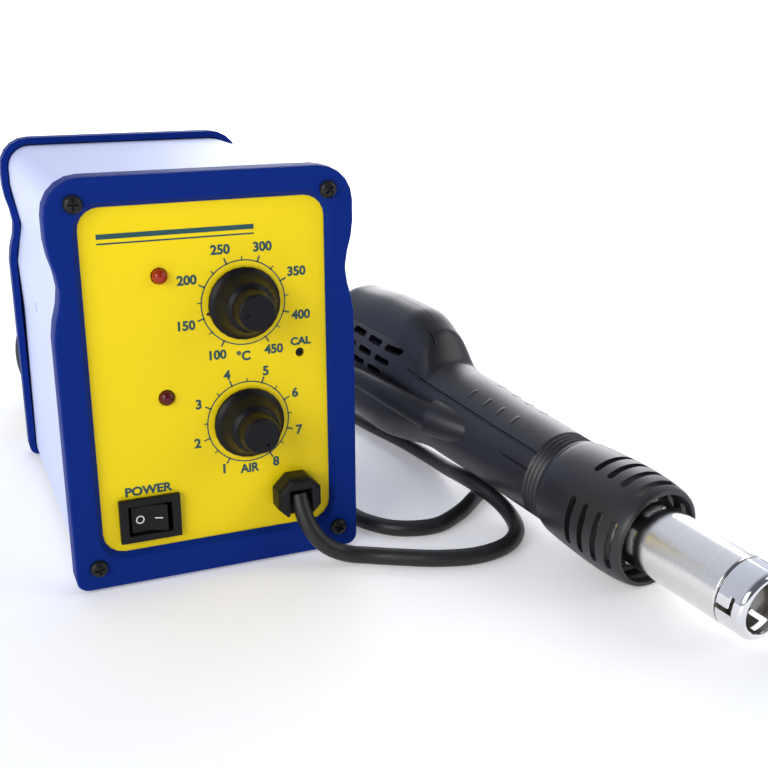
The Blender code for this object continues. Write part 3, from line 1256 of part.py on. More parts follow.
def make_heater(looks, bore):
    """The heater inside the barrel: ceramic core, coiled wire round it, mica sleeve and end board."""
    back = GUARD_LENGTH - SPIGOT_LENGTH - 0.004
    turn = (-pi / 2, 0, 0)
    core = [(0, back), (CORE_RADIUS, back), (CORE_RADIUS, -CORE_REACH + 0.0010), (CORE_RADIUS - 0.0010, -CORE_REACH),
            (0, -CORE_REACH)]
    turned("heater_core", core, looks["ceramic"], 20, parent=HANDPIECE, rotation=turn)
    sleeve_out = bore - GAP
    sleeve = [(sleeve_out, back), (sleeve_out, -BARREL_REACH + COLLAR_TONGUE), (sleeve_out - MICA_WALL, -BARREL_REACH + COLLAR_TONGUE),
              (sleeve_out - MICA_WALL, back)]
    turned("mica_sleeve", sleeve, looks["mica"], 24, ring=True, parent=HANDPIECE, rotation=turn)
    per_turn = 8
    radius = (CORE_RADIUS + GAP + COIL_WIRE_RADIUS) / cos(pi / per_turn)
    count = COIL_TURNS * per_turn + 1
    start, end = back - 0.003, -CORE_REACH + 0.002
    points = [(radius * cos(2 * pi * k / per_turn), start + (end - start) * k / (count - 1), radius * sin(2 * pi * k / per_turn))
              for k in range(count)]
    tube("heater_coil", points, COIL_WIRE_RADIUS, looks["heat_wire"], fineness=1, parent=HANDPIECE)
    disc = SPIGOT_RADIUS - HANDLE_WALL - GAP
    face = back + GAP
    board = [(0, face + BOARD_SIZE[2]), (disc, face + BOARD_SIZE[2]), (disc, face), (0, face)]
    turned("heater_terminal_board", board, looks["board"], 24, parent=HANDPIECE, rotation=turn)


def volute(radius, duct_height, reach):
    """The blower's side view: a round drum whose lowest part runs forward into a flat duct."""
    low = BLOWER_Z - radius
    points = arc((BLOWER_Y, BLOWER_Z), radius, -90, 180, 19)
    front = BLOWER_Y - reach
    points += [(BLOWER_Y - radius, low + duct_height), (front, low + duct_height), (front, low)]
    return points


def make_blower(looks):
    """The blower in the tail: its housing with an inlet and a duct, the motor and the bladed wheel."""
    outer = volute(BLOWER_RADIUS, DUCT_HEIGHT, DUCT_LENGTH)
    inner = volute(BLOWER_RADIUS - BLOWER_WALL, DUCT_HEIGHT - 2 * BLOWER_WALL, DUCT_LENGTH + 0.002)
    half = BLOWER_HALF_WIDTH
    housing = in_handpiece("blower_housing", lofted("blower_housing", [[(x, y, z) for y, z in outer] for x in (-half, half)]),
                           looks["black"])
    hollow = half - BLOWER_WALL
    space = lofted("space", [[(x, y, z) for y, z in inner] for x in (-hollow, hollow)])
    inlet = rod_mesh("inlet", (-half - 0.001, BLOWER_Y, BLOWER_Z), (-hollow + 0.001, BLOWER_Y, BLOWER_Z), BLOWER_INLET_RADIUS, 20)
    boolean(housing, "DIFFERENCE", in_handpiece("blower_space", space), in_handpiece("blower_inlet", inlet))
    place = (0, BLOWER_Y, BLOWER_Z)
    seat = hollow - GAP
    motor = [(0, 0.0075), (MOTOR_RADIUS - 0.0006, 0.0075), (MOTOR_RADIUS, 0.0069), (MOTOR_RADIUS, -seat + 0.0022),
             (MOTOR_RADIUS + 0.0022, -seat + 0.0018), (MOTOR_RADIUS + 0.0022, -seat), (0, -seat)]
    turned("blower_motor", motor, looks["core"], 20, parent=HANDPIECE, location=place, rotation=(0, -pi / 2, 0))
    wheel = []
    step = 2 * pi / IMPELLER_BLADES
    for k in range(IMPELLER_BLADES):
        for radius, share in ((IMPELLER_HUB, 0.0), (IMPELLER_RADIUS, 0.22), (IMPELLER_RADIUS, 0.36), (IMPELLER_HUB, 0.24)):
            angle = step * (k + share)
            wheel.append((radius * cos(angle), radius * sin(angle)))
    front, back = -hollow + 0.0012, hollow - 0.0036
    bore = MOTOR_RADIUS + MOTOR_CLEARANCE
    blades = in_handpiece("blower_impeller", lofted("blower_impeller", [[(x, y, z) for y, z in wheel] for x in (front, back)]),
                          looks["handle"], location=place)
    hole = rod_mesh("bore", (front - 0.001, 0, 0), (back + 0.001, 0, 0), bore, 20)
    boolean(blades, "DIFFERENCE", in_handpiece("impeller_bore", hole, location=place))


def make_leads(looks):
    """The handpiece's lead, and the mains lead with its coil and plug."""
    tube("handpiece_lead", smooth_route(LEAD_ROUTE, LEAD_POINTS), LEAD_RADIUS, looks["rubber"], parent=STATION)
    tube("mains_cord", smooth_route(MAINS_ROUTE, MAINS_POINTS), MAINS_RADIUS, looks["rubber"], parent=STATION)
    inner = COIL_MEAN_RADIUS - COIL_WIDE * COIL_THICK / 2
    outer = COIL_MEAN_RADIUS + COIL_WIDE * COIL_THICK / 2
    height = COIL_HIGH * COIL_THICK
    ring = [(inner, height - 0.002), (inner + 0.002, height), (outer - 0.002, height), (outer, height - 0.002),
            (outer, 0.002), (outer - 0.002, 0.0), (inner + 0.002, 0.0), (inner, 0.002)]
    turned("mains_coil", ring, looks["rubber"], 30, ring=True, location=(*COIL_CENTRE, GAP))
    tube("plug_cord", plug_turn(14), MAINS_RADIUS, looks["rubber"], parent=STATION)


def plug_turn(count):
    """The cord's last part turn, which lies on top of the coil and runs in to the plug."""
    start, end = PLUG_TURN
    top = GAP + COIL_HIGH * COIL_THICK + GAP
    points = []
    for k in range(count):
        share = k / (count - 1)
        angle = radians(start + (end - start) * share)
        radius = PLUG_TURN_RADII[0] + (PLUG_TURN_RADII[1] - PLUG_TURN_RADII[0]) * share ** 2
        lift = MAINS_RADIUS + (PLUG_HALF[1] - MAINS_RADIUS) * share
        points.append(Vector((COIL_CENTRE[0] + radius * cos(angle), COIL_CENTRE[1] + radius * sin(angle), top + lift)))
    return points


def make_plug(looks):
    """The flat two-pin mains plug, lying on the coil at the cord's end."""
    before, end = plug_turn(14)[-2:]
    heading = Vector((end.x - before.x, end.y - before.y, 0)).normalized()
    place = end + heading * GAP
    angle = (0, 0, heading.to_2d().angle_signed(Vector((1, 0))))
    wide, thick = PLUG_HALF
    sections = ((0.0, 0.0046, 0.0046), (0.012, 0.0052, 0.0052), (0.017, wide * 0.85, thick * 0.95),
                (0.034, wide, thick), (0.038, wide * 0.94, thick * 0.92))
    loops = []
    for x, half, rise in sections:
        corner = min(half, rise) * 0.5
        loops.append([(x, y, z) for y, z in (
            (half - corner, -rise), (half, -rise + corner), (half, rise - corner), (half - corner, rise),
            (-half + corner, rise), (-half, rise - corner), (-half, -rise + corner), (-half + corner, -rise))])
    plug = new_object("mains_plug", lofted("mains_plug", loops), looks["rubber"], location=place, rotation=angle)
    pins = [rod_mesh("pin", (0.036, hand * PLUG_PIN_SPACING / 2, 0), (0.057, hand * PLUG_PIN_SPACING / 2, 0), PLUG_PIN_RADIUS)
            for hand in (-1, 1)]
    boolean(plug, "UNION", new_object("plug_pins", joined_mesh("pins", pins), location=place, rotation=angle))


def make_everything():
    """Build every piece of the station and the handpiece."""
    looks = {
        "bezel": finish("blue_plastic", BLUE, 0.45),
        "cover": finish("pale_paint", PALE, 0.35),
        "panel": finish("yellow_paint", YELLOW, 0.5),
        "knob": finish("black_gloss", BLACK, 0.3),
        "black": finish("black_plastic", BLACK, 0.5),
        "rubber": finish("black_rubber", (0.016, 0.016, 0.018), 0.6),
        "handle": finish("handle_plastic", GREY_BLACK, 0.5),
        "guard": finish("guard_plastic", GREY_BLACK, 0.5),
        "steel": finish("steel", STEEL, 0.35, 1.0),
        "chrome": finish("chrome", (0.75, 0.76, 0.78), 0.12, 1.0),
        "brass": finish("brass", (0.75, 0.55, 0.20), 0.35, 1.0),
        "orange_lamp": finish("orange_lens", (0.90, 0.10, 0.02), 0.2),
        "red_lamp": finish("red_lens", (0.35, 0.008, 0.012), 0.2),
        "board": finish("green_board", (0.02, 0.12, 0.05), 0.5),
        "board_part": finish("grey_parts", (0.10, 0.12, 0.20), 0.5),
        "core": finish("core_steel", (0.20, 0.20, 0.21), 0.6, 1.0),
        "winding": finish("winding_tape", (0.60, 0.42, 0.08), 0.6),
        "ceramic": finish("ceramic", (0.80, 0.78, 0.72), 0.6),
        "mica": finish("mica", (0.45, 0.38, 0.28), 0.4),
        "heat_wire": finish("heat_wire", (0.50, 0.48, 0.46), 0.4, 1.0),
    }
    for side in FACING:
        make_bezel(side, looks["bezel"])
        make_case_screws(side, looks["black"])
    make_front_panel(looks["panel"])
    make_rear_panel(looks["panel"])
    make_cover(looks["cover"])
    make_tray(looks["steel"])
    make_feet(looks["rubber"])
    make_dials(looks)
    make_lamp("heater_lamp", HEATER_LAMP_Z, 0.0030, looks["orange_lamp"])
    make_lamp("power_lamp", POWER_LAMP_Z, 0.0022, looks["red_lamp"])
    make_trimmer(looks)
    make_switch(looks)
    make_front_gland(looks)
    make_rear_fittings(looks)
    make_board(looks)
    make_transformer(looks)
    make_handle(looks)
    make_handle_screws(looks)
    boot_tube("lead_boot", 0.0, looks["rubber"])
    make_guard(looks)
    bore = make_barrel(looks)
    make_heater(looks, bore)
    make_blower(looks)
    make_leads(looks)
    make_plug(looks)


CORDS = ("handpiece_lead", "mains_cord", "mains_coil", "plug_cord", "mains_plug")


def centre_on_floor():
    """Move the whole set so that its frame is under the middle of all but the cords."""
    bpy.context.view_layer.update()
    graph = bpy.context.evaluated_depsgraph_get()
    places = []
    for item in PARTS.objects:
        if item.type == "EMPTY" or item.name in CORDS:
            continue
        solved = item.evaluated_get(graph)
        mesh = solved.to_mesh()
        places += [solved.matrix_world @ vertex.co for vertex in mesh.vertices]
        solved.to_mesh_clear()
    low = [min(p[k] for p in places) for k in range(3)]
    high = [max(p[k] for p in places) for k in range(3)]
    ORIGIN.location = (-(low[0] + high[0]) / 2, -(low[1] + high[1]) / 2, -low[2])
    bpy.context.view_layer.update()
    print("frame shift", [round(v, 6) for v in ORIGIN.location])
    print("size", [round(b - a, 6) for a, b in zip(low, high)])


make_everything()
centre_on_floor()
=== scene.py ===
# %% [markdown]
# # Hot air rework station
# A bench station for soldering work: a box with two dials, and a handpiece that blows hot air.
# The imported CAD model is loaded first. It fixes every size and place, and the looks are built round it.

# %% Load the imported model
import json
from math import cos, hypot, pi, radians, sin, sqrt

import bpy
import bmesh
from mathutils import Euler, Matrix, Vector


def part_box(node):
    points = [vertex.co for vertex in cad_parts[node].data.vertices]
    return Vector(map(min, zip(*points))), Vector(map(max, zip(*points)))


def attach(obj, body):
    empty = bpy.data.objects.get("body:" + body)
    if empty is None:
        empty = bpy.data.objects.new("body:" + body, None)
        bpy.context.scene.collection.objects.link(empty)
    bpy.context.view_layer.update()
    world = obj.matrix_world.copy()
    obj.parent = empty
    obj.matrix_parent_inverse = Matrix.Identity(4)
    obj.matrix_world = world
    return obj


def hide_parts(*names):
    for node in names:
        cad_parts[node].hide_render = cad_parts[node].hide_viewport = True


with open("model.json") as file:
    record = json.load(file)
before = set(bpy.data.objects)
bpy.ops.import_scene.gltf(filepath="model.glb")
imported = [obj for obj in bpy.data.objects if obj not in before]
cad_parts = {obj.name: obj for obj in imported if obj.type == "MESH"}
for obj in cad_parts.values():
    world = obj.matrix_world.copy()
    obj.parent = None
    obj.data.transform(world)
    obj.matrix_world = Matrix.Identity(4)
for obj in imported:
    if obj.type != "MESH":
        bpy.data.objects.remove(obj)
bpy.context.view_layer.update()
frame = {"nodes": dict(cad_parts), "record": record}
nodes = frame["nodes"]
print("CAD nodes:", len(nodes))

# %% [markdown]
# The station was drawn with its front face at y = 0 and the bench at z = 0, and the handpiece along its own axis.
# Two matrices lead from those handy axes to the model's own, so each number below can be read off the real object.

# %% The station's and the handpiece's axes
GROUND_GAP = 0.0008
GAP = 0.0003
bezel_low, bezel_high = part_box("front_bezel")
shift = Vector(((bezel_low.x + bezel_high.x) / 2, bezel_low.y, bezel_low.z - GROUND_GAP))
STATION = Matrix.Translation(shift)
MOUTH = (0.1293, -0.0707, 0.0182)
HEADING = 0.168
DIP = 0.100
HANDPIECE = STATION @ Matrix.Translation(MOUTH) @ Euler((DIP, 0.0, HEADING)).to_matrix().to_4x4()
FORWARD = Matrix.Rotation(pi / 2, 4, "X")
REARWARD = Matrix.Rotation(-pi / 2, 4, "X")
print("station shift:", [round(v, 6) for v in shift])

# %% [markdown]
# A photographer stood to the left and looked down a little. The lens is in millimetres on a 36 mm sensor, as on a real
# camera.

# %% Camera
CAMERA_PLACE = (-0.0864, -0.3515, 0.1804)
CAMERA_YAW = 22.71
CAMERA_PITCH = 17.48
CAMERA_ROLL = -0.26
CAMERA_LENS = 53.02


def make_camera():
    """A camera at the photograph's viewing angle, aimed with yaw, pitch and a slight roll."""
    yaw, pitch, roll = radians(CAMERA_YAW), radians(CAMERA_PITCH), radians(CAMERA_ROLL)
    ahead = Vector((sin(yaw) * cos(pitch), cos(yaw) * cos(pitch), -sin(pitch)))
    level = Vector((cos(yaw), -sin(yaw), 0))
    upright = level.cross(ahead)
    right = level * cos(roll) + upright * sin(roll)
    up = upright * cos(roll) - level * sin(roll)
    data = bpy.data.cameras.new("camera")
    data.lens = CAMERA_LENS
    data.clip_start = 0.01
    camera = bpy.data.objects.new("camera", data)
    bpy.context.scene.collection.objects.link(camera)
    turn = Matrix((right, up, -ahead)).transposed().to_4x4()
    camera.matrix_world = Matrix.Translation(STATION @ Vector(CAMERA_PLACE)) @ turn
    bpy.context.scene.camera = camera
    return camera


camera = make_camera()

# %% [markdown]
# ## Finishes
# Moulded plastic, paint and rubber all have a fine grain and a roughness that drifts a little, so both come from one
# shader group. A second group lets a faint tint gather in patches, as handling and dust leave it.

# %% Shader groups
def new_group(name, inputs, outputs):
    """A shader node group with named sockets, and its two end nodes."""
    group = bpy.data.node_groups.new(name, "ShaderNodeTree")
    for title, kind in inputs:
        group.interface.new_socket(title, in_out="INPUT", socket_type=kind)
    for title, kind in outputs:
        group.interface.new_socket(title, in_out="OUTPUT", socket_type=kind)
    return group, group.nodes.new("NodeGroupInput"), group.nodes.new("NodeGroupOutput")


def calculate(tree, operation, a, b):
    """A Math node fed by sockets or plain numbers."""
    node = tree.nodes.new("ShaderNodeMath")
    node.operation = operation
    for socket, value in zip(node.inputs, (a, b)):
        if isinstance(value, (int, float)):
            socket.default_value = value
        else:
            tree.links.new(value, socket)
    return node.outputs[0]


def make_grain_group():
    """Fine grain: a height for bump and a roughness that drifts."""
    group, start, end = new_group("fine_grain", (("Vector", "NodeSocketVector"), ("Scale", "NodeSocketFloat"),
                                                 ("Roughness", "NodeSocketFloat"), ("Drift", "NodeSocketFloat")),
                                  (("Height", "NodeSocketFloat"), ("Roughness", "NodeSocketFloat")))
    fine = group.nodes.new("ShaderNodeTexNoise")
    broad = group.nodes.new("ShaderNodeTexNoise")
    fine.inputs["Detail"].default_value = 3
    broad.inputs["Scale"].default_value = 55
    for noise in (fine, broad):
        group.links.new(start.outputs["Vector"], noise.inputs["Vector"])
    group.links.new(start.outputs["Scale"], fine.inputs["Scale"])
    swing = calculate(group, "SUBTRACT", broad.outputs["Fac"], 0.5)
    swing = calculate(group, "MULTIPLY", swing, start.outputs["Drift"])
    group.links.new(calculate(group, "ADD", start.outputs["Roughness"], swing), end.inputs["Roughness"])
    group.links.new(fine.outputs["Fac"], end.inputs["Height"])
    return group


def make_patch_group():
    """A tint that gathers in soft patches."""
    group, start, end = new_group("soft_patches", (("Vector", "NodeSocketVector"), ("Colour", "NodeSocketColor"),
                                                   ("Tint", "NodeSocketColor"), ("Amount", "NodeSocketFloat")),
                                  (("Colour", "NodeSocketColor"),))
    noise = group.nodes.new("ShaderNodeTexNoise")
    noise.inputs["Scale"].default_value = 34
    noise.inputs["Detail"].default_value = 5
    group.links.new(start.outputs["Vector"], noise.inputs["Vector"])
    share = calculate(group, "MULTIPLY", noise.outputs["Fac"], start.outputs["Amount"])
    mix = group.nodes.new("ShaderNodeMix")
    mix.data_type = "RGBA"
    group.links.new(share, mix.inputs["Factor"])
    group.links.new(start.outputs["Colour"], mix.inputs[6])
    group.links.new(start.outputs["Tint"], mix.inputs[7])
    group.links.new(mix.outputs[2], end.inputs["Colour"])
    return group


GRAIN = make_grain_group()
PATCHES = make_patch_group()
print("shader groups:", GRAIN.name, PATCHES.name)


# %% [markdown]
# Each finish bears the name of the record's slot that it belongs to, apart from the two inks. The turned steel reads its
# pattern in the handpiece's own axes, stretched so that the noise becomes fine rings round the barrel.

# %% Materials
FINISH = {}


def make_finish(name, colour, roughness, metallic=0.0, grain=2400.0, depth=0.25, drift=0.10, tint=None, amount=0.0,
                rings=False, shine=0.5):
    """A procedural finish built from the shared groups."""
    material = bpy.data.materials.new(name)
    material.use_nodes = True
    tree = material.node_tree
    shader = tree.nodes["Principled BSDF"]
    place = tree.nodes.new("ShaderNodeTexCoord").outputs["Object"]
    if rings:
        turn = tree.nodes.new("ShaderNodeMapping")
        turn.vector_type = "TEXTURE"
        turn.inputs["Location"].default_value = HANDPIECE.translation
        turn.inputs["Rotation"].default_value = HANDPIECE.to_euler()
        turn.inputs["Scale"].default_value = (1.0, 0.02, 1.0)
        tree.links.new(place, turn.inputs["Vector"])
        place = turn.outputs["Vector"]
    texture = tree.nodes.new("ShaderNodeGroup")
    texture.node_tree = GRAIN
    texture.inputs["Scale"].default_value = grain
    texture.inputs["Roughness"].default_value = roughness
    texture.inputs["Drift"].default_value = drift
    patch = tree.nodes.new("ShaderNodeGroup")
    patch.node_tree = PATCHES
    patch.inputs["Colour"].default_value = (*colour, 1)
    patch.inputs["Tint"].default_value = (*(tint or colour), 1)
    patch.inputs["Amount"].default_value = amount
    bump = tree.nodes.new("ShaderNodeBump")
    bump.inputs["Strength"].default_value = depth
    bump.inputs["Distance"].default_value = 0.00005
    for node in (texture, patch):
        tree.links.new(place, node.inputs["Vector"])
    tree.links.new(texture.outputs["Height"], bump.inputs["Height"])
    tree.links.new(texture.outputs["Roughness"], shader.inputs["Roughness"])
    tree.links.new(patch.outputs["Colour"], shader.inputs["Base Color"])
    tree.links.new(bump.outputs["Normal"], shader.inputs["Normal"])
    shader.inputs["Metallic"].default_value = metallic
    shader.inputs["Specular IOR Level"].default_value = shine
    FINISH[name] = material


make_finish("blue_plastic", (0.003, 0.021, 0.195), 0.50, depth=0.30, tint=(0.008, 0.032, 0.215), amount=0.3,
            shine=0.05)
# Painted reflection: the cover's pale lavender colour and its pale tint stand for blue paint washed pale by a strong
# glossy reflection, so that light is set in the colour.
make_finish("cover_paint", (0.58, 0.63, 0.90), 0.42, grain=1500, depth=0.30, tint=(0.64, 0.68, 0.90),
            amount=0.5, shine=0.12)
make_finish("panel_paint", (0.930, 0.690, 0.004), 0.42, grain=1800, depth=0.22, tint=(0.95, 0.72, 0.008),
            amount=0.5, shine=0.2)
make_finish("tray_steel", (0.62, 0.60, 0.58), 0.40, 1.0, tint=(0.50, 0.50, 0.52), amount=0.6)
make_finish("rubber", (0.010, 0.010, 0.011), 0.44, depth=0.30, tint=(0.020, 0.020, 0.021), amount=0.5,
            shine=0.4)
make_finish("black_steel", (0.010, 0.010, 0.011), 0.36, 0.3, depth=0.20, tint=(0.03, 0.03, 0.03), amount=0.3,
            shine=0.3)
make_finish("knob_plastic", (0.004, 0.004, 0.006), 0.40, depth=0.18, tint=(0.008, 0.008, 0.010), amount=0.4,
            shine=0.18)
make_finish("black_plastic", (0.005, 0.006, 0.007), 0.40, depth=0.25, tint=(0.010, 0.010, 0.012), amount=0.4,
            shine=0.20)
make_finish("handle_plastic", (0.008, 0.008, 0.010), 0.42, grain=1900, depth=0.45, tint=(0.016, 0.016, 0.020),
            amount=0.5, shine=0.6)
make_finish("steel", (0.84, 0.82, 0.80), 0.17, 1.0, grain=260, depth=0.25, rings=True, tint=(0.70, 0.66, 0.62),
            amount=0.5)
make_finish("chrome", (0.80, 0.80, 0.81), 0.11, 1.0, depth=0.05, drift=0.06, tint=(0.70, 0.69, 0.68),
            amount=0.4)
make_finish("orange_lens", (0.30, 0.016, 0.003), 0.22, depth=0.05, tint=(0.40, 0.040, 0.004), amount=0.5,
            shine=0.35)
make_finish("red_lens", (0.085, 0.004, 0.008), 0.22, depth=0.05, tint=(0.13, 0.006, 0.010), amount=0.5,
            shine=0.35)
make_finish("board", (0.02, 0.12, 0.05), 0.40, tint=(0.03, 0.16, 0.07), amount=0.6)
make_finish("trimmer_plastic", (0.10, 0.12, 0.20), 0.42, tint=(0.14, 0.16, 0.24), amount=0.5)
make_finish("core_steel", (0.20, 0.20, 0.21), 0.50, 1.0, tint=(0.12, 0.11, 0.10), amount=0.6)
make_finish("winding_tape", (0.60, 0.42, 0.08), 0.48, tint=(0.50, 0.33, 0.05), amount=0.6)
make_finish("ceramic", (0.80, 0.78, 0.72), 0.60, tint=(0.62, 0.58, 0.52), amount=0.6)
make_finish("mica", (0.45, 0.38, 0.28), 0.35, tint=(0.60, 0.54, 0.44), amount=0.7)
make_finish("heat_wire", (0.50, 0.48, 0.46), 0.38, 1.0, tint=(0.26, 0.24, 0.24), amount=0.6)
make_finish("panel_ink", (0.004, 0.062, 0.070), 0.48, depth=0.1, tint=(0.01, 0.09, 0.10), amount=0.4)
make_finish("white_ink", (0.78, 0.78, 0.78), 0.50, depth=0.1, tint=(0.68, 0.68, 0.68), amount=0.4)

slot_of = {entry["node"]: entry["material_slot"] for entry in frame["record"]["subparts"]}
body_of = {name: body for body, names in frame["record"]["behaviour"]["bodies"].items() for name in names}
for name, node in nodes.items():
    node.data.materials.clear()
    node.data.materials.append(FINISH[slot_of[name]])
print("finishes:", len(FINISH))

# %% [markdown]
# ## Tools for shaping
# A few helpers do by code what a modeller does by hand. Nothing is left selected between pieces, since an operator acts
# on all that is. A turned piece is an outline spun round an axis, and a fitted piece starts as a merged copy of a CAD
# node, whose flat facets then shade as the smooth moulding that they stand for.

# %% Helpers
def pick(piece):
    """Select one piece alone and make it active."""
    bpy.ops.object.select_all(action="DESELECT")
    piece.select_set(True)
    bpy.context.view_layer.objects.active = piece


def put(name, mesh):
    """A new object for a mesh, a curve or a light."""
    piece = bpy.data.objects.new(name, mesh)
    bpy.context.scene.collection.objects.link(piece)
    return piece


def smooth(piece, angle=35.0, creases=None):
    """Smooth shading with sharp edges kept above an angle, or above 4 degrees between two heights."""
    pick(piece)
    bpy.ops.object.shade_smooth_by_angle(angle=radians(angle))
    if creases:
        mark_creases(piece, *creases)
    step = piece.modifiers.new("flat_faces", "WEIGHTED_NORMAL")
    step.keep_sharp = True
    bpy.ops.object.modifier_apply(modifier=step.name)


def mark_creases(piece, low, high):
    """Keep every fold between two heights sharp."""
    bpy.ops.object.mode_set(mode="EDIT")
    shape = bmesh.from_edit_mesh(piece.data)
    for edge in shape.edges:
        folded = len(edge.link_faces) == 2 and edge.calc_face_angle(0.0) > radians(4)
        if folded and all(low < vertex.co.z - shift.z < high for vertex in edge.verts):
            edge.smooth = False
    bmesh.update_edit_mesh(piece.data)
    bpy.ops.object.mode_set(mode="OBJECT")


def apply_last(piece):
    """Apply a piece's last modifier."""
    pick(piece)
    bpy.ops.object.modifier_apply(modifier=piece.modifiers[-1].name)


def combine(piece, other, operation="DIFFERENCE"):
    """Take another solid away from a piece, or join it on, and drop the other."""
    step = piece.modifiers.new("combine", "BOOLEAN")
    step.operation = operation
    step.object = other
    step.solver = "EXACT"
    apply_last(piece)
    bpy.data.objects.remove(other)


def join_all(pieces):
    """Join pieces into one object."""
    bpy.ops.object.select_all(action="DESELECT")
    for piece in pieces:
        piece.select_set(True)
    bpy.context.view_layer.objects.active = pieces[0]
    bpy.ops.object.join()
    return bpy.context.view_layer.objects.active


def turn_outwards(piece):
    """Merge doubled points and turn every face outwards."""
    pick(piece)
    bpy.ops.object.mode_set(mode="EDIT")
    bpy.ops.mesh.select_all(action="SELECT")
    bpy.ops.mesh.remove_doubles(threshold=1e-6)
    bpy.ops.mesh.normals_make_consistent(inside=False)
    bpy.ops.object.mode_set(mode="OBJECT")
    return piece


def round_edges(piece, width, segments=2, angle=40.0):
    """Bevel the sharp edges."""
    step = piece.modifiers.new("edges", "BEVEL")
    step.width = width
    step.segments = segments
    step.limit_method = "ANGLE"
    step.angle_limit = radians(angle)
    step.harden_normals = False
    apply_last(piece)


def settle(piece, slot, replaces=(), body="root", finish=None):
    """Give a piece its finish, the body it rides and the nodes that it stands for."""
    piece.data.materials.clear()
    piece.data.materials.append(FINISH[finish or slot])
    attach(piece, body)
    if replaces:
        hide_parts(*replaces)
    return piece


def spun(name, outline, place, steps=64, ring=False):
    """Spin an outline of radius and height round the Z axis into a solid, then set it in place."""
    count = len(outline)
    edges = [(i, i + 1) for i in range(count - 1)] + ([(count - 1, 0)] if ring else [])
    mesh = bpy.data.meshes.new(name)
    mesh.from_pydata([(r, 0, h) for r, h in outline], edges, [])
    piece = put(name, mesh)
    pick(piece)
    bpy.ops.object.mode_set(mode="EDIT")
    bpy.ops.mesh.select_all(action="SELECT")
    bpy.ops.mesh.spin(steps=steps, angle=2 * pi, center=(0, 0, 0), axis=(0, 0, 1))
    bpy.ops.mesh.select_all(action="SELECT")
    bpy.ops.mesh.remove_doubles(threshold=1e-6)
    bpy.ops.mesh.normals_make_consistent(inside=False)
    bpy.ops.object.mode_set(mode="OBJECT")
    mesh.transform(place)
    return piece


def copy_node(name):
    """A merged copy of a CAD node, with its flat faces made whole again."""
    piece = put(name + "_fitted", nodes[name].data.copy())
    pick(piece)
    bpy.ops.object.mode_set(mode="EDIT")
    bpy.ops.mesh.select_all(action="SELECT")
    bpy.ops.mesh.remove_doubles(threshold=2e-6)
    bpy.ops.mesh.dissolve_limited(angle_limit=radians(0.8))
    bpy.ops.object.mode_set(mode="OBJECT")
    return piece


def fit(name, bevel=0.0, angle=35.0, segments=2, creases=None):
    """A softened copy of a CAD node that stands for it."""
    piece = copy_node(name)
    if bevel:
        round_edges(piece, bevel, segments, angle)
    smooth(piece, angle, creases)
    return settle(piece, slot_of[name], (name,), body_of[name])


# %% [markdown]
# ## Cords
# Two cords leave the station. The handpiece's lead drops out of the front gland, lies on the bench in a loop beside the
# station and runs round to the handle. The mains lead leaves the back and is stored as a coil. Each is one curve along
# a route of points, smoothed so that it bends like the real thing. The routes repeat the ones that the CAD uses.

# %% Smooth routes
LEAD_RADIUS = 0.00305
MAINS_RADIUS = 0.0032


def smooth_route(route, count):
    """Points at equal steps along a smooth curve through the route's points."""
    knots = [Vector(p) for p in route]
    runs = [(b - a).length for a, b in zip(knots, knots[1:])]
    slopes = [(b - a) / run for a, b, run in zip(knots, knots[1:], runs)]
    heads = [slopes[0]]
    for i in range(1, len(slopes)):
        heads.append((slopes[i - 1] * runs[i] + slopes[i] * runs[i - 1]) / (runs[i - 1] + runs[i]))
    heads.append(slopes[-1])
    fine = []
    for i, run in enumerate(runs):
        for k in range(20):
            t = k / 20
            fine.append(knots[i] * (2 * t ** 3 - 3 * t * t + 1) + heads[i] * run * (t ** 3 - 2 * t * t + t)
                        + knots[i + 1] * (3 * t * t - 2 * t ** 3) + heads[i + 1] * run * (t ** 3 - t * t))
    fine.append(knots[-1])
    distances = [0.0]
    for a, b in zip(fine, fine[1:]):
        distances.append(distances[-1] + (b - a).length)
    points = []
    k = 0
    for i in range(count):
        goal = distances[-1] * i / (count - 1)
        while k < len(distances) - 2 and distances[k + 1] < goal:
            k += 1
        share = (goal - distances[k]) / max(distances[k + 1] - distances[k], 1e-9)
        points.append(fine[k].lerp(fine[k + 1], min(max(share, 0.0), 1.0)))
    return points


def length_of(points):
    """The length of a line through points."""
    return sum((b - a).length for a, b in zip(points, points[1:]))


def make_cord(name, points, radius):
    """A round cord: a curve of one open spline with a round section."""
    curve = bpy.data.curves.new(name, "CURVE")
    curve.dimensions = "3D"
    curve.bevel_depth = radius
    curve.bevel_resolution = 5
    curve.use_fill_caps = True
    spline = curve.splines.new("POLY")
    spline.points.add(len(points) - 1)
    for point, place in zip(spline.points, points):
        point.co = (*(STATION @ place), 1)
    spline.use_smooth = True
    piece = put(name, curve)
    curve.materials.append(FINISH["rubber"])
    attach(piece, "root")
    return piece


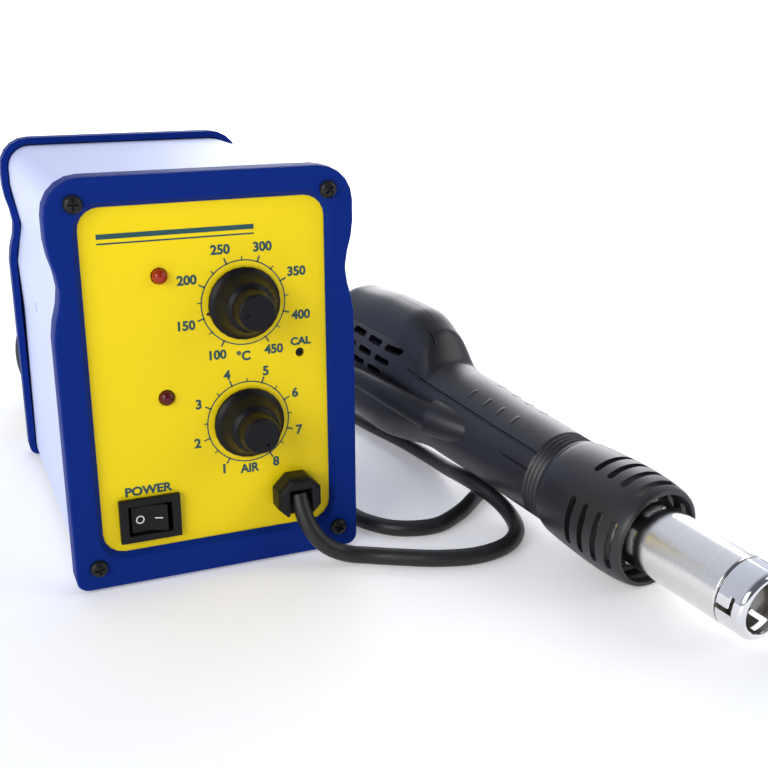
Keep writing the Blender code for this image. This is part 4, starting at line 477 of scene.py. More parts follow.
# %% The handpiece's lead
LEAD_ROUTE = (
    (0.0269, -0.0034, 0.0252), (0.0274, -0.0064, 0.0196), (0.0296, -0.0096, 0.0132), (0.0340, -0.0116, 0.0078),
    (0.0406, -0.0126, 0.0042), (0.0486, -0.0154, 0.0031), (0.0580, -0.0210, 0.0031), (0.0702, -0.0273, 0.0031),
    (0.0842, -0.0304, 0.0031), (0.0966, -0.0272, 0.0031), (0.1056, -0.0186, 0.0031), (0.1096, -0.0076, 0.0037),
    (0.1092, 0.0030, 0.0063), (0.1064, 0.0110, 0.0089), (0.1050, 0.0185, 0.0095), (0.1053, 0.0280, 0.0084),
    (0.1070, 0.0420, 0.0056), (0.1080, 0.0600, 0.0035), (0.1060, 0.0820, 0.0031), (0.0996, 0.1155, 0.0031),
    (0.0957, 0.1425, 0.0031), (0.0909, 0.1664, 0.0031), (0.0693, 0.1832, 0.0031), (0.0484, 0.1890, 0.0031),
    (0.0360, 0.1821, 0.0031), (0.0327, 0.1752, 0.0031), (0.0359, 0.1613, 0.0031), (0.0428, 0.1560, 0.0031),
    (0.0553, 0.1538, 0.0031), (0.0619, 0.1490, 0.0031), (0.0664, 0.1367, 0.0031), (0.0575, 0.1080, 0.0031),
    (0.0550, 0.0800, 0.0031), (0.0545, 0.0340, 0.0031), (0.0575, 0.0130, 0.0031), (0.0660, 0.0018, 0.0031),
    (0.0800, -0.0020, 0.0031), (0.0925, 0.0042, 0.0031), (0.1070, 0.0168, 0.0031), (0.1190, 0.0280, 0.0031),
    (0.1315, 0.0470, 0.0031), (0.1380, 0.0780, 0.0031), (0.1360, 0.1120, 0.0031), (0.1260, 0.1430, 0.0031),
    (0.1080, 0.1610, 0.0052), (0.0885, 0.1605, 0.0120), (0.0728, 0.1410, 0.0210), (0.0686, 0.1140, 0.0310),
    (0.0716, 0.0960, 0.0368), (0.0764, 0.0748, 0.0414),
)
lead_points = smooth_route(LEAD_ROUTE, 420)
lead = make_cord("handpiece_lead_cord", lead_points, LEAD_RADIUS)
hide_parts("handpiece_lead")
print("handpiece lead:", round(length_of(lead_points), 3), "m")

# %% [markdown]
# The stored mains lead winds round in three layers of two turns. Each step to the next turn or layer takes a sixth of a
# turn, and each starts a little earlier than the last one, so that the cord never runs through itself.

# %% The mains lead and its coil
MAINS_ROUTE = (
    (-0.0330, 0.1719, 0.0560), (-0.0334, 0.1755, 0.0559), (-0.0342, 0.1792, 0.0554), (-0.0364, 0.1852, 0.0536),
    (-0.0400, 0.1922, 0.0489), (-0.0420, 0.1956, 0.0447), (-0.0442, 0.1992, 0.0361), (-0.0441, 0.2001, 0.0259),
    (-0.0420, 0.1986, 0.0180), (-0.0360, 0.1938, 0.0092), (-0.0286, 0.1880, 0.0048), (-0.0208, 0.1828, 0.0036),
)
COIL_CENTRE = (0.0050, 0.2160)
TURN_STEP = 0.0065
OUTER_TURN, INNER_TURN = 0.03875, 0.03225
FIRST_LAYER = GAP + TURN_STEP / 2
PLUG_LIFT = 0.0032
PLUG_TURN = (170.0, 330.0)
PLUG_TURN_RADII = (0.0375, 0.0300)
TOP_LAYER = GAP + 3 * TURN_STEP + GAP + MAINS_RADIUS
STOPS = (
    (258.5, OUTER_TURN, 0), (558, OUTER_TURN, 0), (618, INNER_TURN, 0), (858, INNER_TURN, 0), (918, INNER_TURN, 1),
    (1158, INNER_TURN, 1), (1218, OUTER_TURN, 1), (1458, OUTER_TURN, 1), (1518, OUTER_TURN, 2), (1758, OUTER_TURN, 2),
    (1818, INNER_TURN, 2), (1900, INNER_TURN, 2),
)


def on_coil(radius, angle, height):
    """A point at a radius and an angle round the coil's centre."""
    return Vector((COIL_CENTRE[0] + radius * cos(angle), COIL_CENTRE[1] + radius * sin(angle), height))


def coil_points():
    """The cord's turns, read between the stops as angle, radius and layer."""
    points = []
    for (a, ra, la), (b, rb, lb) in zip(STOPS, STOPS[1:]):
        count = max(int((b - a) / 7.5), 1)
        for k in range(count):
            t = k / count
            ease = t * t * (3 - 2 * t)
            angle = radians(a + (b - a) * t)
            radius = ra + (rb - ra) * ease
            height = FIRST_LAYER + TURN_STEP * (la + (lb - la) * ease)
            points.append(on_coil(radius, angle, height))
    return points


def plug_turn_points():
    """The climb on to the coil and the last part turn in to the plug."""
    points = []
    first = STOPS[-1][0] - 1800
    for k in range(26):
        t = k / 25
        angle = first + (PLUG_TURN[1] - first) * t
        climb = min((angle - first) / (PLUG_TURN[0] - first), 1.0)
        ease = climb * climb * (3 - 2 * climb)
        along = max((angle - PLUG_TURN[0]) / (PLUG_TURN[1] - PLUG_TURN[0]), 0.0)
        out = PLUG_TURN_RADII[0] + (PLUG_TURN_RADII[1] - PLUG_TURN_RADII[0]) * along ** 2
        radius = INNER_TURN + (out - INNER_TURN) * ease
        low = FIRST_LAYER + 2 * TURN_STEP
        height = low + (TOP_LAYER - low) * ease + PLUG_LIFT * along
        points.append(on_coil(radius, radians(angle), height))
    return points


mains_route = [Vector(p) for p in MAINS_ROUTE] + coil_points() + plug_turn_points()
mains_points = smooth_route(mains_route, 900)
mains = make_cord("mains_lead_cord", mains_points, MAINS_RADIUS)
plug = fit("mains_plug", 0.0003, 30.0)
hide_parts("mains_cord", "mains_coil", "plug_cord")
print("mains lead:", round(length_of(mains_points), 3), "m")

# %% [markdown]
# ## Casing
# Two blue frames hold a folded sheet cover between them, with yellow panels set in their openings. The frames were
# moulded with a rounded rim, so their edges get a small bevel. The cover keeps the crisp creases of folded sheet.

# %% Bezels, cover, panels and tray
for side in ("front", "rear"):
    fit(side + "_bezel", 0.00035, 30.0)
fit("top_cover", 0.00012, 24.0, creases=(0.060, 0.124))
for side in ("front", "rear"):
    fit(side + "_panel", 0.00012, 30.0)
fit("base_tray", 0.00015, 30.0)
for number in range(1, 5):
    fit(f"rubber_foot_{number}", 0.0004, 40.0)
fit("fuse_holder", 0.0002, 40.0)
fit("mains_boot", 0.0002, 30.0)
fit("lead_boot", 0.0, 60.0)

# %% [markdown]
# Eight black pan head screws hold the frames. A pan head is a low dome with a cross recess, so one is spun from its
# outline, cut with a cross, and copied to each place with its own mesh.

# %% Case screws
SCREW_TOP = (0.041, 0.130)
SCREW_BOTTOM = (0.0425, 0.009)
CASE_DEPTH = 0.150
HEAD = ((0, 0.00185), (0.0009, 0.00182), (0.0017, 0.00165), (0.0023, 0.00135), (0.0027, 0.00095), (0.0029, 0.00050),
        (0.0030, 0.00010), (0.0030, 0.0), (0.0014, 0.0), (0.0014, -0.0085), (0, -0.0092))


def box_piece(name, low, high, place=Matrix.Identity(4)):
    """A box between two corners, added as a primitive and sized to them."""
    bpy.ops.object.select_all(action="DESELECT")
    bpy.ops.mesh.primitive_cube_add(size=1.0)
    piece = bpy.context.active_object
    piece.name = name
    low, high = Vector(low), Vector(high)
    piece.data.transform(place @ Matrix.Translation((low + high) / 2) @ Matrix.Diagonal((*(high - low), 1.0)))
    return piece


def screw_master():
    """A pan head screw with a cross recess, pointing up."""
    screw = spun("screw", HEAD, Matrix.Identity(4), 40)
    for turn in (0, pi / 2):
        arm = box_piece("arm", (-0.0017, -0.00030, 0.0006), (0.0017, 0.00030, 0.003), Matrix.Rotation(turn, 4, "Z"))
        combine(screw, arm)
    return screw


screw = screw_master()
for side, facing, base in (("front", FORWARD, -GAP), ("rear", REARWARD, CASE_DEPTH + GAP)):
    places = [(hand * x, z) for x, z in (SCREW_TOP, SCREW_BOTTOM) for hand in (-1, 1)]
    for number, (x, z) in enumerate(places, 1):
        copy = put(f"{side}_screw_{number}", screw.data.copy())
        angle = 0.6 + 0.9 * number
        copy.data.transform(STATION @ Matrix.Translation((x, base, z)) @ facing @ Matrix.Rotation(angle, 4, "Z"))
        smooth(copy, 32)
        settle(copy, "black_steel", (f"{side}_bezel_screw_{number}",))
bpy.data.objects.remove(screw)

# %% [markdown]
# ## Panel print
# The scales are printed on the yellow panel: a ring with a tick at each setting, and numbers round it. Print has hardly
# any thickness, so it is thin sheet just proud of the paint. Letters come from Blender's own plain font.

# %% Printing tools
PANEL_FRONT = 0.0025
INK_LIFT = 0.00006
KNOB_X = 0.0116
TEMPERATURE_Z = 0.0941
AIR_Z = 0.0525


def printed(name, parts, finish="panel_ink", slot="panel_paint"):
    """Join printed shapes, drawn in X and Z, into one thin piece on the panel."""
    piece = join_all(parts)
    piece.name = name
    piece.data.transform(STATION @ Matrix.Translation((0, PANEL_FRONT - INK_LIFT, 0)) @ FORWARD)
    return settle(piece, slot, finish=finish)


def lettering(words, x, z, size, width=None, bold=0.00016):
    """Words as a flat mesh, centred on a place, and drawn to a width where one is given."""
    bpy.ops.object.select_all(action="DESELECT")
    bpy.ops.object.text_add()
    text = bpy.context.active_object
    text.data.body = words
    text.data.size = size
    text.data.offset = bold
    text.data.align_x = "CENTER"
    text.data.align_y = "CENTER"
    text.data.extrude = INK_LIFT / 2
    text.data.resolution_u = 4
    bpy.ops.object.convert(target="MESH")
    text = bpy.context.active_object
    low = min(v.co.x for v in text.data.vertices)
    high = max(v.co.x for v in text.data.vertices)
    stretch = width / (high - low) if width else 1.0
    text.data.transform(Matrix.Translation((x, z, 0)) @ Matrix.Diagonal((stretch, 1.0, 1.0, 1.0)))
    return text


def ring_print(x, z, inner, outer, steps=96):
    """A thin flat ring."""
    outline = [(inner, -INK_LIFT / 2), (outer, -INK_LIFT / 2), (outer, INK_LIFT / 2), (inner, INK_LIFT / 2)]
    return spun("ring", outline, Matrix.Translation((x, z, 0)), steps, ring=True)


def bar_print(x, z, angle, start, end, width):
    """A thin straight mark that points out from a centre."""
    turn = Matrix.Translation((x, z, 0)) @ Matrix.Rotation(angle, 4, "Z")
    return box_piece("bar", (start, -width / 2, -INK_LIFT / 2), (end, width / 2, INK_LIFT / 2), turn)


# %% Both scales
SCALE_RING = (0.01405, 0.01445)
SCALE_START = 240.0
SCALE_SWEEP = 300.0
LONG_TICK, SHORT_TICK = (0.0164, 0.00050), (0.0156, 0.00034)


def make_scale(name, z, labels, minor, reach, spread, size):
    """One dial's printed scale: ring, long and short ticks and its numbers."""
    parts = [ring_print(KNOB_X, z, *SCALE_RING)]
    steps = (len(labels) - 1) * minor
    for k in range(steps + 1):
        angle = radians(SCALE_START - SCALE_SWEEP * k / steps)
        tick = SHORT_TICK if k % minor else LONG_TICK
        parts.append(bar_print(KNOB_X, z, angle, SCALE_RING[0] - 0.0001, *tick))
    for k, label in enumerate(labels):
        angle = radians(SCALE_START - SCALE_SWEEP * k / (len(labels) - 1))
        radius = reach + spread * abs(cos(angle))
        parts.append(lettering(label, KNOB_X + radius * cos(angle), z + radius * sin(angle), size))
    return printed(name, parts)


make_scale("temperature_scale", TEMPERATURE_Z, [str(n) for n in range(100, 451, 50)], 2, 0.0186, 0.0022, 0.0043)
make_scale("air_scale", AIR_Z, [str(n) for n in range(1, 9)], 2, 0.0182, 0.0006, 0.0045)
printed("panel_words", [
    lettering("°C", 0.0108, 0.0757, 0.0044),
    lettering("CAL", 0.0310, 0.0788, 0.0036, 0.0073),
    lettering("AIR", 0.0113, 0.0355, 0.0044, 0.0068),
    lettering("POWER", -0.0240, 0.0332, 0.0042, 0.0158),
])

# %% [markdown]
# The top of the panel keeps a plain stripe in the print's colour, as generic trim.

# %% Trim stripe
STRIPE_LEFT, STRIPE_RIGHT = -0.0345, 0.0160
printed("trim_stripe", [
    box_piece("stripe", (STRIPE_LEFT, 0.1183, -INK_LIFT / 2), (STRIPE_RIGHT, 0.1199, INK_LIFT / 2)),
    box_piece("stripe", (STRIPE_LEFT, 0.1166, -INK_LIFT / 2), (STRIPE_RIGHT, 0.1171, INK_LIFT / 2)),
])

# %% [markdown]
# ## Controls
# The dials are skirted knobs in glossy black. The rocker, gland and trimmer come from the CAD shapes, with their edges
# softened. The rocker carries a printed ring on one end and a bar on the other.

# %% Knobs, switch, lamps and gland
for dial in ("temperature", "air"):
    fit(dial + "_knob", 0.00022, 26.0, 3)
    fit(dial + "_shaft", 0.0, 35.0)
    fit(dial + "_potentiometer", 0.0001, 35.0)
fit("switch_housing", 0.00030, 35.0)
fit("power_rocker", 0.00010, 35.0)
fit("lead_gland", 0.00040, 28.0)
fit("gland_nut", 0.0002, 35.0)
fit("calibration_trimmer", 0.0001, 35.0)
fit("calibration_screw", 0.00005, 35.0)
ROCKER_PLACE = (-0.0241, 0.0035, 0.0234)
ROCKER_HALF = 0.0062
ROCKER_FACE = -0.00255
ROCKER_SLOPE = 0.207
ROCKER_REST = -8.0


def rocker_mark(name, mark, hand):
    """Set a mark on one face of the rocker, which slopes away from its middle."""
    middle = Matrix.Translation((hand * ROCKER_HALF / 2, ROCKER_FACE - INK_LIFT, 0))
    face = middle @ Matrix.Rotation(-hand * ROCKER_SLOPE, 4, "Z")
    tilt = Matrix.Rotation(radians(ROCKER_REST), 4, "Z")
    mark.name = name
    mark.data.transform(STATION @ Matrix.Translation(ROCKER_PLACE) @ tilt @ face @ FORWARD)
    return settle(mark, "black_plastic", body="rocker", finish="white_ink")


rocker_mark("rocker_ring", ring_print(0, 0, 0.00105, 0.00145, 40), -1)
rocker_mark("rocker_bar", box_piece("bar", (-0.0013, -0.0002, -INK_LIFT / 2), (0.0013, 0.0002, INK_LIFT / 2)), 1)
LAMP_X = -0.0157
LAMP_RADIUS = 0.0025


def make_lamp(name, height, proud, slot):
    """A domed lens through the panel, with its collar behind."""
    back = -0.0018
    dome = [(LAMP_RADIUS * sin(pi / 2 * k / 8), proud - 0.0022 * (1 - cos(pi / 2 * k / 8))) for k in range(9)]
    stem = [(LAMP_RADIUS, back), (LAMP_RADIUS + 0.0006, back), (LAMP_RADIUS + 0.0006, back - 0.0012),
            (LAMP_RADIUS, back - 0.0012), (LAMP_RADIUS, back - 0.0040), (0, back - 0.0040)]
    place = STATION @ Matrix.Translation((LAMP_X, PANEL_FRONT, height)) @ FORWARD
    piece = spun(name + "_lens", dome + stem, place, 48)
    smooth(piece, 40)
    return settle(piece, slot, (name,))


make_lamp("heater_lamp", 0.1053, 0.0030, "orange_lens")
make_lamp("power_lamp", 0.0645, 0.0022, "red_lens")

# %% [markdown]
# ## Handpiece
# The handle is two plastic halves. Its outside is worked out from a few sizes at distances along it, in the same way as
# the CAD, but with many more points, so that the neck rings, the shoulder grooves and the ribs are real shape. Each
# half is a solid form at first. The air slots are cut in it, and then a plainer form is cut out of its inside.

# %% The handle's outside
GUARD_LENGTH = 0.041
HANDLE_END = 0.203
HANDLE_WALL = 0.0018
SPIGOT_RADIUS = 0.0146
SPIGOT_LENGTH = 0.0080
HANDLE_TOP = ((0.041, 0.0176), (0.070, 0.0181), (0.110, 0.0195), (0.120, 0.0200), (0.142, 0.0270), (0.188, 0.0262))
HANDLE_BOTTOM = ((0.041, 0.0164), (0.080, 0.0164), (0.112, 0.0166), (0.150, 0.0215), (0.190, 0.0210))
HANDLE_SIDE = ((0.041, 0.0170), (0.080, 0.0173), (0.112, 0.0182), (0.145, 0.0210), (0.185, 0.0206))
HANDLE_SQUARE = ((0.110, 1.0), (0.150, 0.70))
HUMP_HEIGHT = ((0.118, 0.0), (0.128, 0.0100), (0.160, 0.0100), (0.186, 0.0078), (0.199, 0.0020))
HUMP_HALF_WIDTH = 0.0134
END_ROUND = 0.014
RIBS = (0.0698, 0.0785, 0.0866, 0.0957)
RIB_HEIGHT, RIB_HALF = 0.00022, 0.0008
NECK_START, NECK_END, NECK_PITCH, NECK_DEPTH = 0.0425, 0.0505, 0.0020, 0.00060
GROOVE_DEPTH, SHORT_GROOVE_DEPTH = 0.0009, 0.0006


def blend(value, stops):
    """Read a smooth curve through (place, value) stops."""
    if value <= stops[0][0]:
        return stops[0][1]
    for (a, first), (b, second) in zip(stops, stops[1:]):
        if value <= b:
            share = (value - a) / (b - a)
            return first + (second - first) * share * share * (3 - 2 * share)
    return stops[-1][1]


def window(value, low, high, edge):
    """1 inside a span and 0 outside, with soft edges."""
    rise = min(max((value - low) / edge, 0.0), 1.0)
    fall = min(max((high - value) / edge, 0.0), 1.0)
    share = min(rise, fall)
    return share * share * (3 - 2 * share)


def relief(s, angle):
    """How far the moulded detail stands out of the handle at a distance and an angle."""
    height = 0.0
    if NECK_START < s < NECK_END:
        height -= NECK_DEPTH * (0.5 - 0.5 * cos(2 * pi * (s - NECK_START) / NECK_PITCH))
    height -= GROOVE_DEPTH * window(s, 0.050, 0.130, 0.0008) * window(angle, 42.2, 45.8, 0.7)
    height -= SHORT_GROOVE_DEPTH * window(s, 0.050, 0.066, 0.0008) * window(angle, 21.4, 23.8, 0.6)
    for rib in RIBS:
        height += RIB_HEIGHT * window(s, rib - RIB_HALF, rib + RIB_HALF, 0.0005) * window(angle, 57.5, 73.5, 1.5)
    return height


def handle_point(s, angle, hand, inset=0.0):
    """A point on the handle's outside, or on its inside with an inset. The angle is in degrees up from the side."""
    past = (s - (HANDLE_END - END_ROUND)) / END_ROUND
    close = 1.0 if past <= 0 else 0.50 + 0.50 * max(1 - past * past, 0.0) ** 0.5
    a = radians(angle)
    square = blend(s, HANDLE_SQUARE)
    rise = blend(s, HANDLE_TOP if a > 0 else HANDLE_BOTTOM) * close - inset
    x = (blend(s, HANDLE_SIDE) * close - inset) * abs(cos(a)) ** square
    z = rise * abs(sin(a)) ** square * (1 if a > 0 else -1)
    if a > 0:
        z += blend(s, HUMP_HEIGHT) * sqrt(1 - min(x / (HUMP_HALF_WIDTH - inset), 1.0) ** 2)
    out = 0.0 if inset else relief(s, angle)
    span = max(hypot(x, z), 1e-6)
    return Vector((hand * max(x + out * x / span, 0.0), s, z + out * z / span))


def span_steps(start, end, step):
    """Evenly spaced values from a start to an end."""
    count = max(round((end - start) / step), 1)
    return [start + (end - start) * k / count for k in range(count)]


HANDLE_STATIONS = (span_steps(0.0413, 0.0510, 0.00025) + span_steps(0.0510, 0.0680, 0.0010)
                   + span_steps(0.0680, 0.0980, 0.0004) + span_steps(0.0980, 0.1160, 0.0012)
                   + span_steps(0.1160, 0.1340, 0.0006) + span_steps(0.1340, 0.1890, 0.0015)
                   + [HANDLE_END - END_ROUND * (1 - sin(pi / 2 * k / 14)) for k in range(15)])
HANDLE_ANGLES = sorted(set([-90 + 4 * k for k in range(28)] + span_steps(20, 26, 0.6) + span_steps(26, 41, 2.5)
                           + span_steps(41, 63, 0.5) + span_steps(63, 75, 1.0)
                           + span_steps(75, 90, 2.5) + [90]))
INNER_STATIONS = span_steps(0.0445, HANDLE_END - HANDLE_WALL, 0.004) + [HANDLE_END - HANDLE_WALL]
INNER_ANGLES = [-90 + 5 * k for k in range(37)]
print("handle grid:", len(HANDLE_STATIONS), "by", len(HANDLE_ANGLES))


# %% The two halves
SIDE_VENT_SIZE = (0.0094, 0.0024)
SIDE_VENT_PITCH = (0.0128, 0.0051)
SIDE_VENT_SHIFT = 0.0034
SIDE_VENT_FIRST = (0.1404, 0.0212)
BOSS_START, BOSS_END = Vector((-0.0098, 0.086, 0.0040)), Vector((-0.0180, 0.106, 0.0050))
BOSS_RADII = (0.0056, 0.0076)
BOOT_PATH = (
    (0.093, 0.0115, 0.0036, 0.0056), (0.100, 0.0155, 0.0044, 0.0056), (0.106, 0.0188, 0.0052, 0.0055),
    (0.112, 0.0215, 0.0064, 0.0053), (0.119, 0.0240, 0.0076, 0.0050), (0.127, 0.0259, 0.0085, 0.0047),
    (0.136, 0.0270, 0.0088, 0.0044), (0.145, 0.0276, 0.0086, 0.0042), (0.153, 0.0278, 0.0080, 0.0040),
)
HANDLE_SCREWS = ((0.066, -0.0085), (0.122, -0.0090), (0.188, -0.0060))
WELL_RADIUS, WELL_FLOOR, WELL_TOP = 0.0026, 0.010, 0.024


def handle_form(hand, inset=0.0):
    """One half as a closed solid: the spigot inside the guard, then the grip and the tail, shut along the seam."""
    angles = INNER_ANGLES if inset else HANDLE_ANGLES
    stations = INNER_STATIONS if inset else HANDLE_STATIONS
    radius = SPIGOT_RADIUS - inset
    ends = (GUARD_LENGTH - SPIGOT_LENGTH - inset, 0.0443 if inset else 0.0412)
    loops = [[Vector((hand * radius * cos(radians(a)), s, radius * sin(radians(a)))) for a in angles] for s in ends]
    loops += [[handle_point(s, a, hand, inset) for a in angles] for s in stations]
    for loop in loops:
        for k in (0, -1):
            loop[k].x = -hand * inset
    across = len(angles)
    faces = []
    for row in range(len(loops) - 1):
        first = row * across
        faces += [(first + k, first + k + 1, first + k + across + 1, first + k + across) for k in range(across - 1)]
    last = (len(loops) - 1) * across
    faces += [tuple(range(across)), tuple(range(last, last + across))]
    faces += [(k * across, k * across + across - 1, (k + 1) * across + across - 1, (k + 1) * across)
              for k in range(len(loops) - 1)]
    mesh = bpy.data.meshes.new("handle_form")
    mesh.from_pydata([tuple(p) for loop in loops for p in loop], [], faces)
    piece = put("left_handle_half" if hand < 0 else "right_handle_half", mesh)
    return turn_outwards(piece)


def vent_slots(hand):
    """Cutters for one side's rows of air slots, rounded at their ends."""
    slots = []
    length, height = (size / 2 for size in SIDE_VENT_SIZE)
    for row in range(4):
        for column in range(3):
            s = SIDE_VENT_FIRST[0] + column * SIDE_VENT_PITCH[0] + row * SIDE_VENT_SHIFT
            z = SIDE_VENT_FIRST[1] - row * SIDE_VENT_PITCH[1]
            ends = sorted((hand * 0.0087, hand * 0.027))
            slot = box_piece("slot", (ends[0], s - length, z - height), (ends[1], s + length, z + height))
            round_edges(slot, 0.0009, 3)
            slots.append(slot)
    return join_all(slots)


def cone_between(name, start, end, wide, narrow, steps=40):
    """A cone or rod from one point to another."""
    axis = end - start
    bpy.ops.object.select_all(action="DESELECT")
    bpy.ops.mesh.primitive_cone_add(vertices=steps, radius1=wide, radius2=narrow, depth=axis.length)
    piece = bpy.context.active_object
    piece.name = name
    turn = axis.to_track_quat("Z", "Y").to_matrix().to_4x4()
    piece.data.transform(Matrix.Translation((start + end) / 2) @ turn)
    return piece


def boot_cutter(spread):
    """The hole that the lead's boot leaves the handle by."""
    curve = bpy.data.curves.new("boot_hole", "CURVE")
    curve.dimensions = "3D"
    curve.bevel_depth = BOOT_PATH[0][3]
    curve.bevel_resolution = 6
    curve.use_fill_caps = True
    spline = curve.splines.new("POLY")
    spline.points.add(len(BOOT_PATH) - 1)
    for point, (s, left, up, thick) in zip(spline.points, BOOT_PATH):
        point.co = (-left, s, up, 1)
        point.radius = (thick + spread) / BOOT_PATH[0][3]
    piece = put("boot_hole", curve)
    pick(piece)
    bpy.ops.object.convert(target="MESH")
    return turn_outwards(bpy.context.active_object)


def make_handle_half(hand):
    """One half of the handle, with the lead's boss on the left or screw wells on the right."""
    half = handle_form(hand)
    if hand < 0:
        combine(half, cone_between("boss", BOSS_START, BOSS_END, *BOSS_RADII), "UNION")
        combine(half, boot_cutter(GAP))
        combine(half, box_piece("slit", (-0.0060, 0.1224, 0.0270), (-0.0056, 0.1300, 0.0400)))
    else:
        for y, z in HANDLE_SCREWS:
            floor, top = Vector((WELL_FLOOR, y, z)), Vector((WELL_TOP, y, z))
            combine(half, cone_between("well", floor, top, WELL_RADIUS, WELL_RADIUS, 28))
    combine(half, vent_slots(hand))
    combine(half, handle_form(hand, HANDLE_WALL))
    half.data.transform(HANDPIECE)
    smooth(half, 38)
    name = "left_handle_shell" if hand < 0 else "right_handle_shell"
    return settle(half, "handle_plastic", (name,))


for hand in (-1, 1):
    half = make_handle_half(hand)
    print(half.name, "faces:", len(half.data.polygons))

# %% [markdown]
# ## Guard, barrel and nozzle collar
# The guard is a bulged sleeve with groups of slots, which keeps fingers off the hot barrel and lets air pass. The
# barrel is turned steel, and the bright collar at its end has a rolled lip and the notches of a twist fitting.

# %% Guard
GUARD_MOUTH = 0.0180
GUARD_BULGE = 0.0014
GUARD_WALL = 0.0022
GUARD_SEAT = 0.0068
SLOT_FIRST, SLOT_PITCH, SLOT_WIDTH, SLOT_SPAN = 0.0042, 0.0064, 0.0025, 57.0


def guard_outline():
    """The guard's section, from the grip round the lip to the inside."""
    outer = [(0.0, -0.0006), (0.0003, -0.0003), (0.0008, -0.0001), (0.0020, 0.0003), (0.0040, 0.0006),
             (0.0065, 0.0010), (0.0090, 0.0012), (0.0140, GUARD_BULGE), (0.0190, GUARD_BULGE), (0.0250, 0.0012),
             (0.0330, 0.0008), (0.0390, 0.0003), (GUARD_LENGTH, -0.0002)]
    points = [(GUARD_MOUTH + grow, s) for s, grow in reversed(outer)]
    points += [(GUARD_MOUTH - GUARD_WALL + 0.0004, 0.0), (GUARD_MOUTH - GUARD_WALL, 0.0008),
               (GUARD_MOUTH - GUARD_WALL + 0.0008, 0.0080),
               (GUARD_MOUTH - GUARD_WALL + 0.0010, GUARD_LENGTH - GUARD_SEAT - 0.0025),
               (SPIGOT_RADIUS + GAP, GUARD_LENGTH - GUARD_SEAT), (SPIGOT_RADIUS + GAP, GUARD_LENGTH)]
    return points


def slot_piece(start, middle):
    """A slice of a ring with rounded ends, bent round the guard's axis."""
    inner, outer = GUARD_MOUTH - 0.006, GUARD_MOUTH + 0.004
    half_width, half_span = SLOT_WIDTH / 2, radians(SLOT_SPAN / 2)
    round_part = half_width / GUARD_MOUTH
    shares = [-half_span + round_part * (1 - cos(pi / 2 * k / 5)) for k in range(6)]
    shares += [-half_span + round_part + (2 * half_span - 2 * round_part) * k / 12 for k in range(1, 12)]
    shares += [half_span - round_part * (1 - cos(pi / 2 * k / 5)) for k in range(5, -1, -1)]
    loops = []
    for share in shares:
        edge = min(half_span - abs(share), round_part) / round_part
        pinch = half_width * max(sqrt(max(1 - (1 - edge) ** 2, 0.0)), 0.06)
        angle = middle + share
        loops.append([(r * cos(angle), start + side * pinch, r * sin(angle))
                      for r, side in ((inner, -1), (outer, -1), (outer, 1), (inner, 1))])
    vertices = [p for loop in loops for p in loop]
    faces = [(4 * i + k, 4 * i + (k + 1) % 4, 4 * i + 4 + (k + 1) % 4, 4 * i + 4 + k)
             for i in range(len(loops) - 1) for k in range(4)]
    end = 4 * (len(loops) - 1)
    faces += [(3, 2, 1, 0), (end, end + 1, end + 2, end + 3)]
    mesh = bpy.data.meshes.new("slot")
    mesh.from_pydata(vertices, [], faces)
    return turn_outwards(put("slot", mesh))


guard = spun("slotted_guard", guard_outline(), REARWARD, 128, ring=True)
combine(guard, join_all([slot_piece(SLOT_FIRST + row * SLOT_PITCH, pi / 2 * group)
                         for row in range(4) for group in range(4)]))
guard.data.transform(HANDPIECE)
smooth(guard, 35)
settle(guard, "handle_plastic", ("barrel_guard",))
print("guard faces:", len(guard.data.polygons))

# %% Barrel and collar
BARREL_RADIUS = 0.0120
BARREL_STEP_RADIUS = 0.0134
BARREL_STEP = 0.0050
BARREL_WALL = 0.0007
BARREL_REACH = 0.0353
COLLAR_LENGTH = 0.0107
COLLAR_RADIUS = 0.0117
COLLAR_MOUTH = 0.0090
COLLAR_TONGUE = 0.006
NOTCH_TURN = 146.0
bore = BARREL_RADIUS - BARREL_WALL
back = GUARD_LENGTH - SPIGOT_LENGTH - GAP
barrel_outline = [
    (SPIGOT_RADIUS - 0.0004, back), (SPIGOT_RADIUS - 0.0004, back - 0.0012), (BARREL_STEP_RADIUS, back - 0.0012),
    (BARREL_STEP_RADIUS, BARREL_STEP + 0.0012), (BARREL_STEP_RADIUS - 0.0004, BARREL_STEP + 0.0003),
    (BARREL_RADIUS, BARREL_STEP - 0.0008), (BARREL_RADIUS, -BARREL_REACH + 0.0004),
    (BARREL_RADIUS - 0.0003, -BARREL_REACH), (bore, -BARREL_REACH), (bore, BARREL_STEP - 0.0004),
    (BARREL_STEP_RADIUS - BARREL_WALL, BARREL_STEP + 0.0010), (BARREL_STEP_RADIUS - BARREL_WALL, back),
]
barrel = spun("turned_barrel", barrel_outline, HANDPIECE @ REARWARD, 96, ring=True)
round_edges(barrel, 0.00012, 2, 30)
smooth(barrel, 35)
settle(barrel, "steel", ("barrel",))

